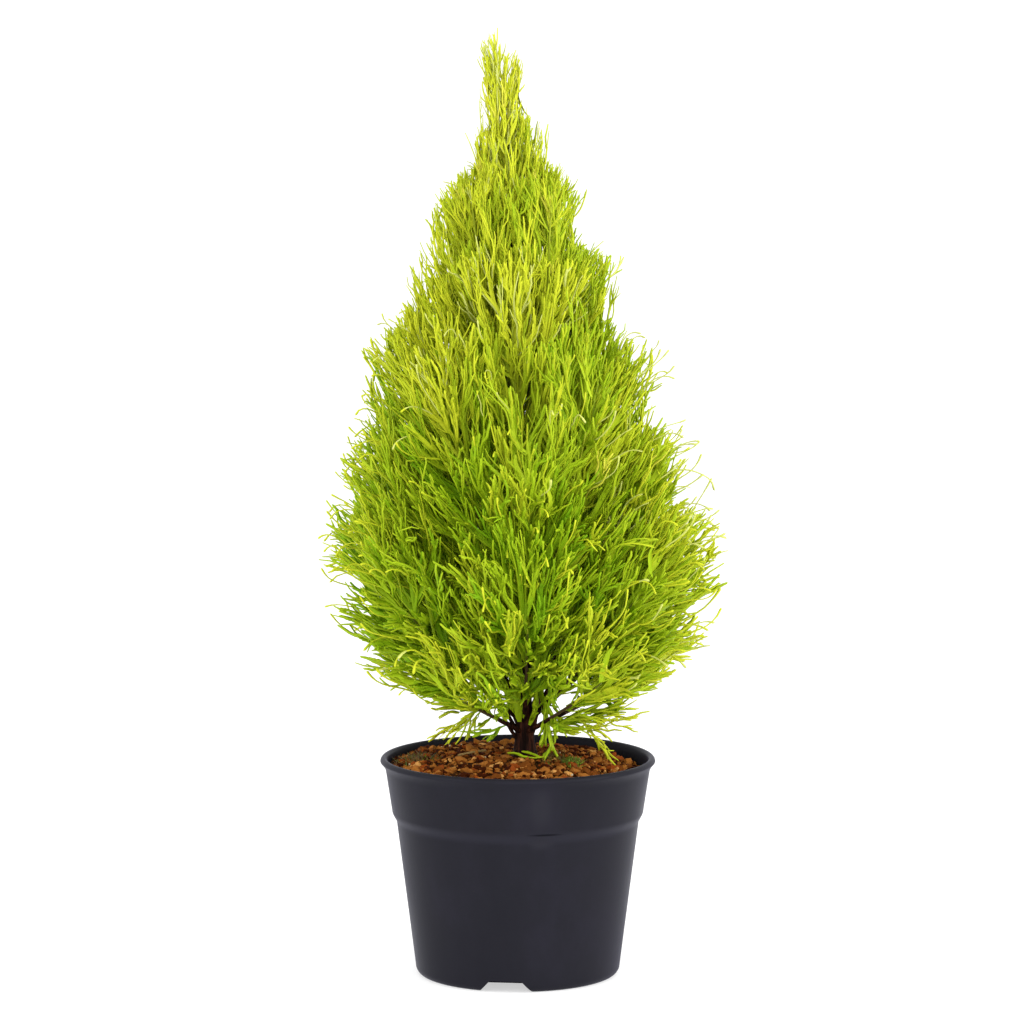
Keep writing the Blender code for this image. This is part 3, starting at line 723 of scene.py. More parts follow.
def chip_finish(name, colour):
    """One colour of bark chip, with a fibrous relief."""
    finish = Finish(name, colour, 0.90, 0.05)
    fibre = finish.place(GRAIN, Scale=600.0, Upright_Squeeze=0.5, Contrast=1.6)
    finish.relief(fibre["Height"], 0.6, 0.0006)
    return finish.material


def plain_finish(name, colour, roughness=0.6, specular=0.3):
    """One plain colour, dealt out by spray."""
    return Finish(name, colour, roughness, specular).material


# Pot


def wall_radius(height):
    """The pot wall's outer radius, from the foot's corner to the collar's top."""
    if height <= STEP_LOW:
        low = BASE_RADIUS + FOOT_CORNER_WIDTH
        share = (height - FOOT_CORNER_HEIGHT) / (STEP_LOW - FOOT_CORNER_HEIGHT)
        return low + (STEP_RADIUS_LOW - low) * share
    if height <= STEP_HIGH:
        share = (height - STEP_LOW) / (STEP_HIGH - STEP_LOW)
        eased = share * share * (3 - 2 * share)
        return STEP_RADIUS_LOW + (STEP_RADIUS_HIGH - STEP_RADIUS_LOW) * eased
    share = (height - STEP_HIGH) / (COLLAR_TOP - STEP_HIGH)
    return STEP_RADIUS_HIGH + (COLLAR_TOP_RADIUS - STEP_RADIUS_HIGH) * share


def wall_heights():
    """Heights up the wall, close together over the step."""
    straight = list(np.linspace(FOOT_CORNER_HEIGHT + 0.002, STEP_LOW - 0.002, 9))
    step = list(np.linspace(STEP_LOW, STEP_HIGH, 11))
    collar = list(np.linspace(STEP_HIGH + 0.002, LIP_LOW - 0.0012, 5))
    return straight + step + collar


def lip_rows():
    """The lip: its underside swells out of the collar, and it rolls over into the inner wall."""
    inner = COLLAR_TOP_RADIUS - WALL
    middle, wide = (RIM_RADIUS + inner) / 2, (RIM_RADIUS - inner) / 2
    high = (POT_HEIGHT - COLLAR_TOP) / 2
    rows = []
    for share in np.linspace(0.0, 0.96, 7):
        z = LIP_LOW + (POT_HEIGHT - high - LIP_LOW) * share
        rows.append((wall_radius(z) + (RIM_RADIUS - wall_radius(z)) * share**2.2, z))
    for degrees in range(4, 160, 14):
        a = math.radians(degrees)
        rows.append((middle + wide * math.cos(a), POT_HEIGHT - high + high * math.sin(a)))
    return rows


def pot_profile():
    rows = [(0.0, 0.0), (BASE_RADIUS - 0.004, 0.0), (BASE_RADIUS, 0.0)]
    for degrees in range(-78, 1, 13):
        a = math.radians(degrees)
        out = BASE_RADIUS + FOOT_CORNER_WIDTH * math.cos(a)
        rows.append((out, FOOT_CORNER_HEIGHT + FOOT_CORNER_HEIGHT * math.sin(a)))
    rows += [(wall_radius(z), z) for z in wall_heights()]
    rows += lip_rows()
    rows.append((COLLAR_TOP_RADIUS - WALL, COLLAR_TOP))
    rows += [(wall_radius(z) - WALL, z) for z in reversed(wall_heights())]
    rows.append((wall_radius(FOOT_CORNER_HEIGHT) - WALL, FOOT_CORNER_HEIGHT + WALL))
    rows += [(BASE_RADIUS, FLOOR), (0.0, FLOOR)]
    return rows


def turned(profile, segments):
    """Points and faces of a solid turned from (radius, height) rows that start and end on the axis."""
    rings = [circle(radius, height, segments) for radius, height in profile[1:-1]]
    return skinned((0.0, 0.0, profile[0][1]), rings, (0.0, 0.0, profile[-1][1]))


def loose_object(name, points, faces):
    mesh = mesh_from_lists(name, points, faces)
    work = bmesh.new()
    work.from_mesh(mesh)
    bmesh.ops.recalc_face_normals(work, faces=work.faces)
    work.to_mesh(mesh)
    work.free()
    return linked_object(name, mesh)


def cut_or_join(made, other, operation):
    """Bakes a Boolean of made with other into made, and removes other."""
    change = made.modifiers.new(operation.title(), "BOOLEAN")
    change.operation = operation
    change.solver = "EXACT"
    change.object = other
    bpy.context.view_layer.update()
    graph = bpy.context.evaluated_depsgraph_get()
    baked = bpy.data.meshes.new_from_object(made.evaluated_get(graph))
    made.modifiers.clear()
    made.data = baked
    bpy.data.objects.remove(other, do_unlink=True)


def channel_prism(name, angle, grow, inner, bottom, reach_low, reach_high):
    """A radial prism with the drain channel's section, wider by grow, and a rounded outer end."""
    top = CHANNEL_HEIGHT + grow
    slope = (CHANNEL_FOOT_WIDTH - CHANNEL_TOP_WIDTH) / 2 / CHANNEL_HEIGHT
    half_top = CHANNEL_TOP_WIDTH / 2 + grow
    half_foot = half_top + slope * (top - bottom)
    low = [(y, bottom, reach_low) for y in (-half_foot, 0.0, half_foot)]
    high = [(y, top, reach_high) for y in (half_top, 0.0, -half_top)]
    straight = [(inner, y, z) for y, z, _ in low + high]
    straight += [(math.sqrt(reach**2 - y**2), y, z) for y, z, reach in low + high]
    ahead, aside = math.cos(angle), math.sin(angle)
    points = [(x * ahead - y * aside, x * aside + y * ahead, z) for x, y, z in straight]
    faces = [(5, 4, 3, 2, 1, 0), (6, 7, 10), (6, 10, 11), (7, 8, 9), (7, 9, 10)]
    faces += [(i, (i + 1) % 6, (i + 1) % 6 + 6, i + 6) for i in range(6)]
    return loose_object(name, points, faces)


def drain_hole(angle):
    """A short upright cutter through a channel's roof."""
    middle = (DRAIN_HOLE_PLACE * math.cos(angle), DRAIN_HOLE_PLACE * math.sin(angle))
    low, high = FLOOR, CHANNEL_HEIGHT + 4 * WALL
    rings = [circle(DRAIN_HOLE_RADIUS, height, DRAIN_HOLE_SIDES, middle, angle) for height in (low, high)]
    return loose_object("hole", *skinned((*middle, low), rings, (*middle, high)))


def build_pot():
    made = loose_object("pot_blank", *turned(pot_profile(), POT_SEGMENTS))
    for k in range(CHANNELS):
        angle = CHANNEL_ANGLE + math.tau * k / CHANNELS
        # the roof and its side walls end inside the pot's wall
        reach = (BASE_RADIUS + WALL, wall_radius(CHANNEL_HEIGHT) - WALL / 2)
        roof = channel_prism("roof", angle, WALL, CHANNEL_INNER - WALL, FLOOR / 2, *reach)
        cut_or_join(made, roof, "UNION")
        reach = (CHANNEL_REACH, CHANNEL_REACH)
        channel = channel_prism("channel", angle, 0.0, CHANNEL_INNER, -CHANNEL_HEIGHT, *reach)
        cut_or_join(made, channel, "DIFFERENCE")
        cut_or_join(made, drain_hole(angle), "DIFFERENCE")
    mesh = made.data
    bpy.data.objects.remove(made, do_unlink=True)
    mesh.name = "pot_moulded"
    mesh.materials.clear()
    add_piece("pot_moulded", smooth_up_to(mesh, 32.0), [pot_plastic()], ["pot"])


# Soil


def soil_edge(angle):
    """The height of the soil at its edge, and its radius there."""
    height = SOIL_EDGE + SOIL_EDGE_TILT * math.cos(angle - SOIL_HIGH_SIDE)
    return height, wall_radius(height) - WALL - GAP


def soil_height(x, y):
    """The soil's surface as in the source: a mound round the trunk, lowest at the right edge."""
    angle = math.atan2(y, x - TRUNK_FOOT.x)
    edge, rim = soil_edge(angle)
    away = math.hypot(x - TRUNK_FOOT.x, y)
    furthest = math.hypot(rim * math.cos(angle) - TRUNK_FOOT.x, rim * math.sin(angle))
    share = min(max((away - SOIL_PAD_RADIUS) / (furthest - SOIL_PAD_RADIUS), 0.0), 1.0)
    return edge + (SOIL_MOUND - edge) * (1 - share**1.6)


def lumpy(x, y, scale, depth):
    return depth * noise.noise(Vector((x * scale, y * scale, 3.7)))


def build_soil_bed():
    """The soil's plug: its side up from the channels, then a lumpy top in rings round the trunk."""
    side = [z for z in wall_heights() if SOIL_BOTTOM < z < SOIL_EDGE - SOIL_EDGE_TILT - 0.001]
    rings = [circle(wall_radius(z) - WALL - GAP, z, SOIL_SEGMENTS) for z in [SOIL_BOTTOM] + side]
    for i in range(SOIL_RINGS, 0, -1):
        share = i / SOIL_RINGS
        rough = SOIL_ROUGHNESS * min(1.0, 6 * share) * (1.0 if i < SOIL_RINGS else 0.0)
        ring = []
        for k in range(SOIL_SEGMENTS):
            a = math.tau * k / SOIL_SEGMENTS
            rim = soil_edge(a)[1]
            x = TRUNK_FOOT.x * (1 - share) + rim * share * math.cos(a)
            y = rim * share * math.sin(a)
            lift = lumpy(x, y, 160.0, rough) + lumpy(x, y, 420.0, rough * 0.5)
            ring.append((x, y, soil_height(x, y) + lift))
        rings.append(ring)
    skin = skinned((0.0, 0.0, SOIL_BOTTOM), rings, (TRUNK_FOOT.x, 0.0, SOIL_MOUND), fold=1)
    mesh = smooth_up_to(mesh_from_lists("soil_bed", *skin), 50.0)
    add_piece("soil_bed", mesh, [soil_earth()], ["soil"])


GOLDEN_RATIO = (1 + math.sqrt(5)) / 2
NUGGET_CORNERS = unit(
    np.array(
        [(a, b * GOLDEN_RATIO, 0) for a in (-1, 1) for b in (-1, 1)]
        + [(0, a, b * GOLDEN_RATIO) for a in (-1, 1) for b in (-1, 1)]
        + [(b * GOLDEN_RATIO, 0, a) for a in (-1, 1) for b in (-1, 1)]
    )
)


def nugget_faces():
    """The twenty faces of a nugget, turned outwards: every three corners that are one edge apart."""
    gaps = np.linalg.norm(NUGGET_CORNERS[:, None] - NUGGET_CORNERS[None], axis=2)
    near = (gaps < 1.2) & (gaps > 0.0)
    faces = []
    for a in range(12):
        for b in range(a + 1, 12):
            for c in range(b + 1, 12):
                if near[a, b] and near[b, c] and near[a, c]:
                    first, second, third = NUGGET_CORNERS[[a, b, c]]
                    outwards = np.dot(np.cross(second - first, third - first), first) > 0
                    faces.append((a, b, c) if outwards else (a, c, b))
    return np.array(faces)


NUGGET_FACES = nugget_faces()


def nugget_points(dice, long, wide, thick):
    """The corners of a rough, split nugget of bark, lying at a random tilt."""
    corners = NUGGET_CORNERS * dice.uniform(0.72, 1.20, (12, 1)) * (long / 2, wide / 2, thick / 2)
    yaw, pitch, roll = dice.uniform(0.0, math.tau), dice.normal(0.0, 0.40), dice.normal(0.0, 0.40)
    turn = Matrix.Rotation(yaw, 3, "Z") @ Matrix.Rotation(pitch, 3, "Y") @ Matrix.Rotation(roll, 3, "X")
    return corners @ np.array(turn).T


class NuggetHeap:
    """Gathers nuggets, each of one colour, into one mesh."""

    def __init__(self):
        self.points, self.colours = [], []

    def add(self, corners, colour):
        self.points.append(corners)
        self.colours.append(np.full(len(NUGGET_FACES), colour))

    def mesh(self, name, sharp):
        starts = 12 * np.arange(len(self.points))[:, None, None]
        faces = (NUGGET_FACES + starts).reshape(-1, 3)
        points, colours = np.concatenate(self.points), np.concatenate(self.colours)
        return smooth_up_to(mesh_from_arrays(name, points, faces, colours), sharp)


def soil_places(dice, count, keep_off):
    """Places spread evenly over the soil, off the trunk and the wall."""
    places = []
    while len(places) < count:
        a = dice.uniform(0.0, math.tau)
        r = (soil_edge(a)[1] - keep_off) * math.sqrt(dice.uniform(0.0, 1.0))
        x, y = r * math.cos(a), r * math.sin(a)
        if math.hypot(x - TRUNK_FOOT.x, y) > TRUNK_CLEARANCE + keep_off * 0.6:
            places.append((x, y))
    return places


def build_chips():
    """Bark nuggets and crumbs in their own colours, half sunk in the soil."""
    dice = np.random.default_rng([SEED, 5])
    finishes = [chip_finish(name, colour) for name, colour, _ in CHIP_COLOURS]
    likely = [share for _, _, share in CHIP_COLOURS]
    heap = NuggetHeap()
    for k, (x, y) in enumerate(soil_places(dice, CHIPS, 0.0030)):
        long = dice.uniform(*CHIP_LENGTHS) * (1.4 if k % 6 == 0 else 1.0)
        wide = long * dice.uniform(0.45, 0.85)
        corners = nugget_points(dice, long, wide, long * dice.uniform(0.35, 0.65))
        lift = lumpy(x, y, 160.0, SOIL_ROUGHNESS) + dice.uniform(-0.0006, 0.0010)
        heap.add(corners + (x, y, soil_height(x, y) + lift), dice.choice(5, p=likely))
    for x, y in soil_places(dice, CRUMBS, 0.0014):
        long = dice.uniform(*CRUMB_LENGTHS)
        corners = nugget_points(dice, long, long * 0.8, long * 0.6)
        height = soil_height(x, y) + dice.uniform(0.0002, 0.0016)
        heap.add(corners + (x, y, height), dice.choice(5, p=likely))
    add_piece("soil_chips", heap.mesh("soil_chips", 24.0), finishes)


def build_specks():
    """A few pale specks of grit among the chips."""
    dice = np.random.default_rng([SEED, 6])
    heap = NuggetHeap()
    for x, y in soil_places(dice, SPECKS, 0.004):
        long = dice.uniform(*SPECK_LENGTHS)
        heap.add(nugget_points(dice, long, long * 0.9, long * 0.8) + (x, y, soil_height(x, y) + 0.0018), 0)
    pale = chip_finish("speck_pale", (0.55, 0.44, 0.30))
    add_piece("soil_specks", heap.mesh("soil_specks", 60.0), [pale])


def build_moss():
    """Ragged patches of moss and fine roots: short spikes of green, olive and brown on low mounds."""
    dice = np.random.default_rng([SEED, 7])
    finishes = [plain_finish(name, colour) for name, colour in MOSS_COLOURS]
    points, triangles, colours = [], [], []
    for middle_x, middle_y, radius, height, count, likely in MOSS:
        for _ in range(count):
            a, r = dice.uniform(0.0, math.tau), radius * math.sqrt(dice.uniform(0.0, 1.0))
            r *= 1.0 + 0.3 * math.sin(3 * a + middle_x * 400.0)
            x, y = middle_x + r * math.cos(a), middle_y + 1.2 * r * math.sin(a)
            inside = max(1.0 - (r / radius) ** 2, 0.0)
            foot = np.array((x, y, soil_height(x, y) + 0.0008 + height * inside * dice.uniform(0.4, 1.0)))
            lean = np.array((*dice.normal(0.0, 1.0, 2), 1.0)) * dice.uniform(0.0010, 0.0030)
            first = 4 * len(points)
            for k in range(3):
                triangles.append((first + k, first + (k + 1) % 3, first + 3))
            turn = dice.uniform(0.0, math.tau) + math.tau * np.arange(3) / 3
            ring = np.stack([np.cos(turn), np.sin(turn), np.full(3, -1.5)], axis=1)
            ring = foot + MOSS_SPIKE_RADIUS * ring
            points.append(np.vstack([ring, foot + lean]))
            colours += [dice.choice(4, p=likely)] * 3
    mesh = mesh_from_arrays("soil_moss", np.concatenate(points), np.array(triangles), colours)
    add_piece("soil_moss", mesh, finishes)


# Tubes


def tube_frames(paths, turns):
    """The direction at each ring of each tube, and the broad and thin ways across it."""
    along = unit(np.gradient(paths, axis=1))
    first = outward_from(along[:, 0], turns)[:, None]
    broad = unit(first - along * (first * along).sum(-1, keepdims=True))
    return along, broad, np.cross(along, broad)


def turns_facing(directions, outward):
    """The turns about these directions at which a flat tube shows its broad side outward."""
    broad = np.cross(outward, directions)
    across = across_of(directions)
    other = np.cross(directions, across)
    return np.arctan2((broad * other).sum(-1), (broad * across).sum(-1))


def tube_arrays(paths, radii, sides, turns, flatness):
    """Points, tip faces and four-sided faces of many tapering tubes, round or flattened."""
    count, rings, _ = paths.shape
    along, broad, thin = tube_frames(paths, turns)
    thin = thin * flatness[:, None, None]
    angles = (math.tau * np.arange(sides) / sides)[:, None]
    around = broad[:, :, None] * np.cos(angles) + thin[:, :, None] * np.sin(angles)
    points = (paths[:, :, None] + around * radii[:, :, None, None]).reshape(count, -1, 3)
    ends = paths[:, -1] + along[:, -1] * radii[:, -1:] * 1.3
    points = np.concatenate([points, ends[:, None]], axis=1)
    ring = np.arange(rings - 1)[:, None] * sides
    k = np.arange(sides)
    n = (k + 1) % sides
    a, b = ring + k, ring + n
    quads = np.stack([a, b, b + sides, a + sides], axis=-1).reshape(-1, 4)
    top = (rings - 1) * sides
    tips = np.stack([top + k, top + n, np.full(sides, rings * sides)], axis=-1)
    starts = (np.arange(count) * (rings * sides + 1))[:, None, None]
    return points.reshape(-1, 3), (tips + starts).reshape(-1, 3), (quads + starts).reshape(-1, 4)


class TubeBundle:
    """Gathers tubes of several orders, with a colour for each ring, into one mesh."""

    def __init__(self):
        self.points, self.tips, self.tip_colours, self.quads, self.quad_colours = [], [], [], [], []
        self.count = 0

    def add(self, paths, radii, sides, colours, turns=0.0, flatness=1.0):
        if len(paths) == 0:
            return
        turns, flatness = (np.broadcast_to(value, len(paths)) for value in (turns, flatness))
        points, tips, quads = tube_arrays(paths, radii, sides, turns, flatness)
        self.points.append(points)
        self.tips.append(tips + self.count)
        self.tip_colours.append(np.repeat(colours[:, -1], sides))
        self.quads.append(quads + self.count)
        self.quad_colours.append(np.repeat(colours[:, :-1], sides, axis=1).ravel())
        self.count += len(points)

    def add_one(self, path, radii, sides, colours=0):
        """Adds a single round tube, of one colour or of one for each ring."""
        self.add(path[None], radii[None], sides, np.broadcast_to(colours, (1, len(path))))

    def mesh(self, name):
        """The gathered tubes, round ones smooth and flat ones with crisp edges."""
        parts = (self.points, self.tips, self.tip_colours, self.quads, self.quad_colours)
        return smooth_up_to(mesh_from_arrays(name, *map(np.concatenate, parts)), RIBBON_EDGE)


# Plumes and the crown's rule, as in the source


def bezier(line, t):
    a, b, c, d = line
    t = np.asarray(t)[..., None]
    u = 1.0 - t
    return a * u**3 + b * (3 * u * u * t) + c * (3 * u * t * t) + d * t**3


def leaning(outward, degrees):
    """The way that leans outward at this angle from upright."""
    lean = math.radians(degrees)
    return UP * math.cos(lean) + outward * math.sin(lean)


class Plume:
    """One bough and its mass of foliage: a line from the trunk to the crown's outline."""

    def __init__(self, tier, number, count, root, tip, azimuth, lean_root, lean_tip, bough):
        self.tier, self.name, self.bough = tier, f"{tier}_{number}", bough
        dice = np.random.default_rng([SEED, len(tier), number, round(root * 1e4)])
        shift = dice.uniform(-1.0, 1.0, 3)
        azimuth = math.radians(azimuth + 360.0 * number / count + 3.0 * shift[0])
        tip = tip + 0.006 * shift[1]
        outward = np.array((math.cos(azimuth), math.sin(azimuth), 0.0))
        start = leader_point(root + 0.0012 * shift[2])
        end = leader_point(min(tip, CROWN_TOP)) + outward * (crown_radius(tip) * 0.98)
        reach = np.linalg.norm(end - start)
        leave, arrive = leaning(outward, lean_root), leaning(outward, lean_tip)
        self.line = (start, start + leave * reach * 0.38, end - arrive * reach * 0.34, end)
        if tier == "leader":
            start, end = leader_point(TRUNK_TIP), leader_point(CROWN_TOP)
            self.line = (start, start + (end - start) * 0.33, start + (end - start) * 0.67, end)
        self.samples = bezier(self.line, np.linspace(0.0, 1.0, LINE_SAMPLES))


def all_plumes():
    plumes = []
    for tier, count, *shape in TIERS:
        plumes += [Plume(tier, number, count, *shape) for number in range(count)]
    return plumes


class Crown:
    """Tells which points lie in a plume's own space, clear of the trunk and the pot."""

    def __init__(self, plumes):
        self.plumes = plumes
        self.lines = np.stack([p.samples for p in plumes]).astype(np.float32)

    def gaps(self, points):
        """The distance from each point to each plume's line."""
        points = points.astype(np.float32)
        gaps = np.empty((len(points), len(self.plumes)), np.float32)
        for p, line in enumerate(self.lines):
            along = line[1:] - line[:-1]
            squared = (along * along).sum(1)
            rel = points[:, None, :] - line[None, :-1]
            share = np.clip((rel * along).sum(2) / squared, 0.0, 1.0)
            gaps[:, p] = np.sqrt(((rel - along * share[..., None]) ** 2).sum(2)).min(1)
        return gaps

    def holds(self, points, owners, outline, trimmed):
        """True where a point is in its owner's space, or a little way into a neighbour's."""
        height = points[:, 2]
        away = off_leader(points)[2]
        reach = crown_radius(height) * outline * (crown_edge(points) if trimmed else 1.0)
        good = (height < CROWN_TOP) & (away < reach)
        good &= height > POT_HEIGHT + RIM_CLEARANCE
        good &= (height > TRUNK_TIP) | (away > trunk_radius(height) + LIMB_MARGIN)
        good &= (height > BARE_HEIGHT) | (away > BARE_RADIUS)
        gaps = self.gaps(points)
        rows = np.arange(len(points))
        own = gaps[rows, owners].copy()
        gaps[rows, owners] = 1.0
        return good & (gaps.min(1) - own >= -CELL_OVERLAP)


# Twigs


def sway(points):
    """A slow sideways bend at each place, the same for neighbours."""
    return np.array([noise.noise_vector(Vector(point) * SWAY_SCALE) for point in points])


def outward_face(points):
    """The way that a spray's broad side looks: out of the crown, and a little up."""
    return unit(outward_level(points) + 0.35 * UP)


def notches(points):
    """How far the outline stands out or in at a place, the same for neighbours."""
    surface = leader_line(points) + outward_level(points) * crown_radius(points[:, 2])[:, None]
    lumps = np.array([noise.noise(Vector(point) * NOTCH_SCALE) for point in surface])
    return NOTCH * (1.0 + 0.5 * rise_share(points[:, 2])) * lumps


def patches(points):
    """A slow change of tone from place to place, drawn out along the upright."""
    slow = points * (PATCH_SCALE, PATCH_SCALE, 0.6 * PATCH_SCALE)
    return PATCH * np.array([noise.noise(Vector(point)) for point in slow])


class Twigs:
    """Many twigs of one order: where each starts, how it leaves and arrives, its waves and bends."""

    arrays = "owner root leave arrive length bends turns waves phase cycles hooks".split()

    def __init__(self, dice, owner, root, leave, arrive, length, rings, bend, wave):
        count = len(root)
        self.owner, self.root, self.length = owner, root, length
        self.leave, self.arrive = unit(leave), unit(arrive)
        self.bends = dice.normal(0.0, bend, (count, rings - 1, 3))
        self.turns = dice.uniform(0.0, math.tau, count)
        # neighbours wave alike
        slow = sway(root * WAVE_SHARE + 5.0) if wave > 0.0 else np.zeros((count, 3))
        side = unit(np.cross(self.arrive, slow + dice.normal(0.0, 0.12, (count, 3))))
        self.waves = side * (wave * dice.uniform(0.4, 1.5, count))[:, None]
        self.phase = 1.6 * slow[:, 2] + dice.uniform(0.0, 0.35, count)
        self.cycles = dice.uniform(0.8, 1.6, count)
        self.hooks = np.zeros((count, 3))
        self.extra = {}

    def paths(self):
        steps = self.bends.shape[1]
        share = ((np.arange(steps) + 0.5) / steps)[None, :, None]
        way = unit(self.leave[:, None] * (1.0 - share) + self.arrive[:, None] * share + self.bends)
        swing = np.cos(math.tau * (self.cycles[:, None, None] * share + self.phase[:, None, None]))
        way = unit(way + self.waves[:, None] * swing + self.hooks[:, None] * share**3)
        way = way * (self.length / steps)[:, None, None]
        start = np.zeros((len(way), 1, 3))
        return self.root[:, None] + np.concatenate([start, np.cumsum(way, axis=1)], axis=1)

    def keep(self, chosen):
        for name in self.arrays:
            setattr(self, name, getattr(self, name)[chosen])
        self.extra = {name: values[chosen] for name, values in self.extra.items()}

    def join(self, other):
        for name in self.arrays:
            setattr(self, name, np.concatenate([getattr(self, name), getattr(other, name)]))
        for name, values in self.extra.items():
            self.extra[name] = np.concatenate([values, other.extra[name]])

    def fit(self, crown, outline, trimmed, shortest):
        """Shortens each twig until it stays in its plume's space, and drops those left too short."""
        steps = self.bends.shape[1]
        tried = self.paths()[:, 1:].reshape(-1, 3)
        owners = np.repeat(self.owner, steps)
        limits = np.repeat(np.broadcast_to(outline, self.owner.shape), steps)
        inside = crown.holds(tried, owners, limits, trimmed).reshape(-1, steps)
        self.length = self.length * np.cumprod(inside, axis=1).sum(1) / steps
        self.keep(self.length >= shortest)


def lean_towards(direction, outward, degrees):
    """The direction tilted by an angle towards a vector square to it."""
    angle = np.radians(np.broadcast_to(degrees, len(direction)))[:, None]
    return direction * np.cos(angle) + outward * np.sin(angle)


def chance(dice, count, likely):
    """True for about this share of a count."""
    return dice.uniform(0.0, 1.0, count) < likely


def numbers_within(counts):
    """For things in groups of these counts: the group of each, and its number in the group."""
    return np.repeat(np.arange(len(counts)), counts), np.concatenate([np.arange(n) for n in counts])


def outer_twigs(dice, twigs, count, share, chosen):
    """Some twigs whose middles stand past this share of the outline, at heights that pass a test."""
    paths = twigs.paths()
    middle = paths[:, TWIG_RINGS // 2]
    out = off_leader(middle)[2] / crown_radius(middle[:, 2])
    outer = np.flatnonzero((out > share) & chosen(middle[:, 2]))
    return paths, dice.choice(outer, count, replace=False)


def grow_shoots(dice, crown):
    """Side shoots round each plume's line, at the golden angle, closer together towards its tip."""
    owner, share, turn, length = [], [], [], []
    for p, plume in enumerate(crown.plumes):
        count, whole, _ = BRANCHING[plume.tier]
        first = max(plume.bough * 0.20, 0.04)
        places = first + (0.985 - first) * ((np.arange(count) + 0.5) / count) ** 0.82
        owner.append(np.full(count, p))
        share.append(places)
        turn.append(GOLDEN_ANGLE * np.arange(count) + dice.uniform(0.0, 6.28))
        length.append(whole * (1.08 - 0.42 * places))
    owner, share, turn = np.concatenate(owner), np.concatenate(share), np.concatenate(turn)
    length = np.concatenate(length) * dice.uniform(0.80, 1.20, len(owner))
    lines = np.stack([p.samples for p in crown.plumes])
    root, along = places_along(lines, owner, share)
    outward = outward_from(along, turn)
    leave = lean_towards(along, outward, dice.uniform(34.0, 50.0, len(owner)))
    arrive = lean_towards(along, outward, dice.uniform(12.0, 28.0, len(owner)))
    arrive = 0.45 * arrive + 0.55 * crown_flow(root + arrive * length[:, None])
    shoots = Twigs(dice, owner, root, leave, arrive, length, SHOOT_RINGS, 0.05, 0.16)
    count, height = len(owner), root[:, 2]
    rise = rise_share(height)
    shoots.extra["tone"] = dice.normal(0.0, 0.07, count) + patches(root)
    shoots.extra["flat"] = np.full(count, FROND_FLATNESS)
    shoots.extra["pale"] = np.zeros(count, int)
    shoots.extra["golden"] = chance(dice, count, 0.03 + 0.30 * rise**6)
    # the fronds by the soil are narrow
    narrow = np.where(height < LOW_FOLIAGE, 0.5, 1.0)
    shoots.extra["girth"] = dice.uniform(0.8, 1.2, count) * narrow * (1.0 - 0.35 * rise)
    shoots.extra["tip"] = share
    # a third of the sprays stand out as tufts
    place = dice.uniform(0.0, 1.0, count)
    stand = np.where(chance(dice, count, TUFTS), 0.05 * place, 0.09 * place - 0.11)
    shoots.extra["stand"] = 1.0 + stand * narrow_share(height)
    shoots.turns = turns_facing(shoots.leave, outward_face(root)) + dice.normal(0.0, 0.40, count)
    shoots.fit(crown, SHOOT_OUTLINE, True, SHOOT_SHORTEST)
    return shoots


def narrow_share(height):
    """How many times further apart, for its radius, the sprays' ends stand where the crown is narrow."""
    return np.clip(LEVEL_SPREAD / crown_radius(height), 1.0, 3.0)


